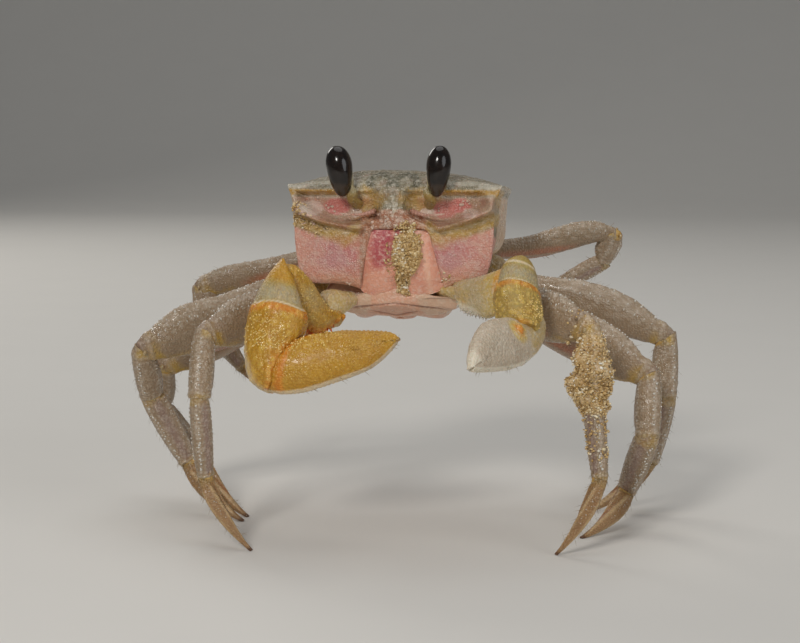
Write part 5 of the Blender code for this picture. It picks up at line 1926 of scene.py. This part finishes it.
def limb_bristles(side_name, number):
    """Fine bristles along the edges and rims of one limb."""
    name = limb_name(side_name, number)
    parts = CLAW_PARTS if number == 1 else LEG_PARTS
    chance = random.Random(900 + number * 2 + SIDES[side_name])
    column = (number - 1) + (5 if side_name == "left" else 0)
    bm = bmesh.new()
    layer = bm.loops.layers.uv.new("OFBake")
    for k, (part, piece) in enumerate(zip(parts, LIMBS[side_name, number])):
        skin = SKINS[f"{name}_{part}"]
        along, over_axis, beside = piece.read(skin)
        if part == "toe":
            ribs = np.abs(np.cos(3.0 * np.arctan2(beside, over_axis)))
            weight = smooth(0.5, 0.95, ribs) * fade(0.7, 0.9, along)
        else:
            edge = np.abs(over_axis) / np.maximum(np.hypot(over_axis, beside), 1e-6)
            weight = smooth(0.85, 0.98, edge) * smooth(0.1, 0.25, along) * fade(0.85, 0.95, along) \
                + 1.5 * hump(along, 0.95, 0.04)
        for at in picks(weight, BRISTLES[part], chance):
            around = math.atan2(beside[at], over_axis[at]) / (2.0 * math.pi) + 0.5
            spot = ((column + 0.05 + 0.85 * around) / UNWRAP_LIMBS,
                    (k + 0.05 + 0.9 * min(max(along[at], 0.0), 1.0)) / 4.0)
            length = chance.uniform(0.6, 1.5) * (1.2 if part == "toe" else 1.0)
            root = Vector(skin.points[at])
            way = Vector(skin.normals[at]) + piece.course
            if root.z < BRISTLES_UP_BELOW:
                way.z = abs(way.z) + 0.4
            plant(bm, layer, root, way, length, chance.uniform(0.05, 0.075), spot, chance)
    finished(name + "_bristles", bm, HAIR)


# Sand ----------------------------------------------------------------------------------------------


def strew(bm, tone_layer, skin, count, weight, sizes, depth, chance, brightness):
    """Grains of sand on a skin, most where weight is high, in a layer up to depth thick."""
    def thrown(reach):
        return Vector([chance.uniform(-reach, reach) for _ in range(3)])

    patchy = 0.6 * (ripple(skin.points, 1.7, 83) - 0.5)
    for at in picks(np.clip(weight, 0.0, None), count, chance):
        size = chance.uniform(*sizes) if chance.random() < 0.85 else sizes[1] * chance.uniform(1.0, 1.35)
        lift = size * 0.15 + depth * chance.random() ** 2 * min(1.0, float(weight[at]))
        middle = Vector(skin.points[at]) + Vector(skin.normals[at]) * lift
        middle += thrown(0.2)
        turn = Matrix.Rotation(chance.uniform(0.0, 6.28), 4, thrown(1.0).normalized())
        spans = [size * chance.uniform(low, high) for low, high in ((0.8, 1.5), (0.6, 1.1), (0.4, 0.8))]
        place = Matrix.Translation(middle * MM) @ turn @ Matrix.Diagonal((*spans, 1.0))
        made = bmesh.ops.create_icosphere(bm, subdivisions=1, radius=0.5 * MM, matrix=place)
        tone = min(max(chance.gauss(brightness + patchy[at], 0.2), 0.0), 1.0)
        for vert in made["verts"]:
            vert.co += Vector([chance.uniform(-0.09, 0.09) * size * MM for _ in range(3)])
            vert[tone_layer] = tone


def sand_piece(name, patches, seed, brightness):
    """One piece of sand from patches of (skin, count, weight, sizes, depth)."""
    chance = random.Random(seed)
    bm = bmesh.new()
    tone_layer = bm.verts.layers.float.new("tone")
    for spread in patches:
        strew(bm, tone_layer, *spread, chance, brightness)
    finished(name, bm, SAND)


# Sand on the shell's front: middle and half size in the body's x and z, grains, their sizes, depth.
SHELL_SAND = (
    ((2.4, 16.8), (2.4, 1.6), 170, (0.24, 0.55), 0.3),
    ((-17.4, 19.4), (1.9, 2.9), 90, (0.26, 0.6), 0.3),
    ((-14.6, 17.0), (2.4, 1.4), 40, (0.3, 0.5), 0.15),
    ((8.2, 7.6), (2.4, 2.2), 36, (0.3, 0.5), 0.15),
)


def face_sand():
    """The sand on the mouth plates, over the mouth and on the face's right corner."""
    left, right, shell = (SKINS[node] for node in ("left_mouth_plate", "right_mouth_plate", "carapace"))
    x, _, z = left.in_body().T
    clump = smooth(-0.3, -0.7, left.facing()[:, 1]) * mouth_clump(x, z)
    x, _, z = right.in_body().T
    specks = smooth(-0.3, -0.7, right.facing()[:, 1]) * patch(x, z, (-0.2, 12.0), (1.3, 3.4)) * 0.5
    x, y, z = shell.in_body().T
    front = smooth(-0.2, -0.6, shell.facing()[:, 1]) * smooth(-10.0, -13.0, y)
    spreads = [(left, 720, clump, (0.24, 0.72), 0.2), (right, 60, specks, (0.24, 0.5), 0.3)]
    for middle, size, count, sizes, depth in SHELL_SAND:
        spreads.append((shell, count, front * patch(x, z, middle, size), sizes, depth))
    sand_piece("mouth_sand", spreads, 51, 0.56)


# Sand on the left second leg: piece, grains, the shares along it from and to which it lies, depth.
LIMB_SAND = (("thigh", 50, 0.88, 1.0, 0.15), ("knee", 1450, 0.05, 1.3, 0.3),
             ("shank", 560, -0.4, 0.22, 0.25), ("shank", 150, 0.2, 0.75, 0.1))


def limb_sand():
    """The sand that coats the left second leg."""
    spreads = []
    for part, count, low, high, depth in LIMB_SAND:
        skin = SKINS["left_leg_2_" + part]
        along = LIMBS["left", 2][LEG_PARTS.index(part)].read(skin)[0]
        within = smooth(low - 0.06, low, along) * fade(high - 0.05, high + 0.05, along)
        thinner = 0.35 + 0.65 * smooth(0.1, 0.6, along) if part == "knee" else 1.0
        weight = within * (0.25 + 0.75 * smooth(0.3, -0.4, skin.normals[:, 1])) * thinner
        spreads.append((skin, count, weight, (0.26, 0.62), depth))
    sand_piece("limb_sand", spreads, 53, 0.58)


# Putting it together -------------------------------------------------------------------------------


dress_carapace()
dress_sternum()
dress_abdomen()
for side_name in SIDES:
    dress_mouth_plate(side_name)
    dress_eye(side_name)
    dress_stalk(side_name)
    dress_antenna(side_name)
    dress_claw(side_name)
    for number in LEG_SIZES:
        dress_leg(side_name, number)
for side_name in SIDES:
    for number in range(1, 6):
        joint_pieces(side_name, number)
        limb_bristles(side_name, number)
        if number == 1:
            claw_beads(side_name)
            arm_teeth(side_name)
        else:
            leg_beads(side_name, number)
face_sand()
limb_sand()
wet_beads()


# The stage -----------------------------------------------------------------------------------------


FLOOR_EDGE = (-1.6, 0.0)  # where the floor's flat sheet ends, in y and z, in metres
SWEEP_START, SWEEP_RADIUS, WALL_TOP = 0.9, 0.6, 2.4


def backdrop():
    """A pale floor that sweeps up into a plain wall well behind the crab."""
    bm = bmesh.new()
    bmesh.ops.create_grid(bm, x_segments=1, y_segments=1, size=3.0,
                          matrix=Matrix.Translation((0.0, FLOOR_EDGE[0] - 3.0, 0.0)))
    rim = [edge for edge in bm.edges if all(vert.co.y > -2.0 for vert in edge.verts)]
    path = [(SWEEP_START, 0.0)]
    for k in range(1, 13):
        turn = math.radians(7.5 * k)
        path.append((SWEEP_START + SWEEP_RADIUS * math.sin(turn),
                     SWEEP_RADIUS - SWEEP_RADIUS * math.cos(turn)))
    path.append((SWEEP_START + SWEEP_RADIUS, WALL_TOP))
    at = FLOOR_EDGE
    for y, z in path:
        ring, rim = extruded(bm, rim)
        bmesh.ops.translate(bm, vec=(0.0, y - at[0], z - at[1]), verts=ring)
        at = (y, z)
    bmesh.ops.recalc_face_normals(bm, faces=bm.faces)
    mesh = mesh_of("backdrop", bm)
    mesh.shade_smooth()
    made = Finish("backdrop", "DCD9D3", {"Roughness": 0.85})
    paper = add(made.tree, "ShaderNodeTexNoise", Vector=made.place, Scale=40.0, Detail=3.0)
    made.lay("D3D0CA", paper.outputs["Fac"], 0.3)
    mesh.materials.append(made.close())
    floor = in_scene("backdrop", mesh)


# Round soft lamps: place and width in metres, power in watts, colour.
LAMPS = {
    "key": ((-0.16, -0.62, 0.42), 0.16, 2.1, (1.0, 0.97, 0.93)),
    "fill": ((0.75, -0.55, 0.35), 0.6, 2.1, (0.93, 0.96, 1.0)),
    "top": ((0.0, 0.15, 0.9), 0.9, 2.5, (1.0, 1.0, 1.0)),
    "rim": ((-0.5, 0.6, 0.45), 0.4, 1.5, (1.0, 0.97, 0.92)),
}
LAMPS_AIM = Vector((0.0, 0.0, 0.045))


def turned_towards(made, way):
    """Turns a lamp or a camera to look along way."""
    made.rotation_euler = way.to_track_quat("-Z", "Y").to_euler()


def lights():
    """The soft lamps, and a weak even light from all round."""
    for name, (where, size, power, colour) in LAMPS.items():
        light = bpy.data.lights.new(name, "AREA")
        light.shape = "DISK"
        light.size = size
        light.energy = power
        light.color = colour
        made = in_scene(name, light)
        made.location = where
        turned_towards(made, LAMPS_AIM - Vector(where))
    world = bpy.data.worlds.new("studio")
    world.use_nodes = True
    around = world.node_tree.nodes["Background"].inputs
    around["Color"].default_value = (0.85, 0.88, 0.92, 1.0)
    around["Strength"].default_value = 0.15
    bpy.context.scene.world = world


CAMERA_YAW = 6.0  # degrees round to the crab's left
CAMERA_DROP = 7.0  # degrees that it looks down
CAMERA_REACH = 0.372  # metres from the middle of the face
LENS_LENGTH = 88.56


def camera():
    """The view from a little above and to the crab's left."""
    low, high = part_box("carapace")
    target = Vector(((low.x + high.x) / 2.0 + 1.6 * MM, low.y - 1.166 * MM, 41.2 * MM))
    yaw, drop = math.radians(CAMERA_YAW), math.radians(CAMERA_DROP)
    forward = Vector((-math.sin(yaw) * math.cos(drop), math.cos(yaw) * math.cos(drop),
                      -math.sin(drop)))
    lens = bpy.data.cameras.new("camera")
    lens.sensor_width = 36.0
    lens.lens = LENS_LENGTH
    lens.clip_start = 0.01
    made = in_scene("camera", lens)
    made.location = target - forward * CAMERA_REACH
    turned_towards(made, forward)
    bpy.context.scene.camera = made


backdrop()
lights()
camera()
bpy.context.scene.view_settings.view_transform = "Standard"
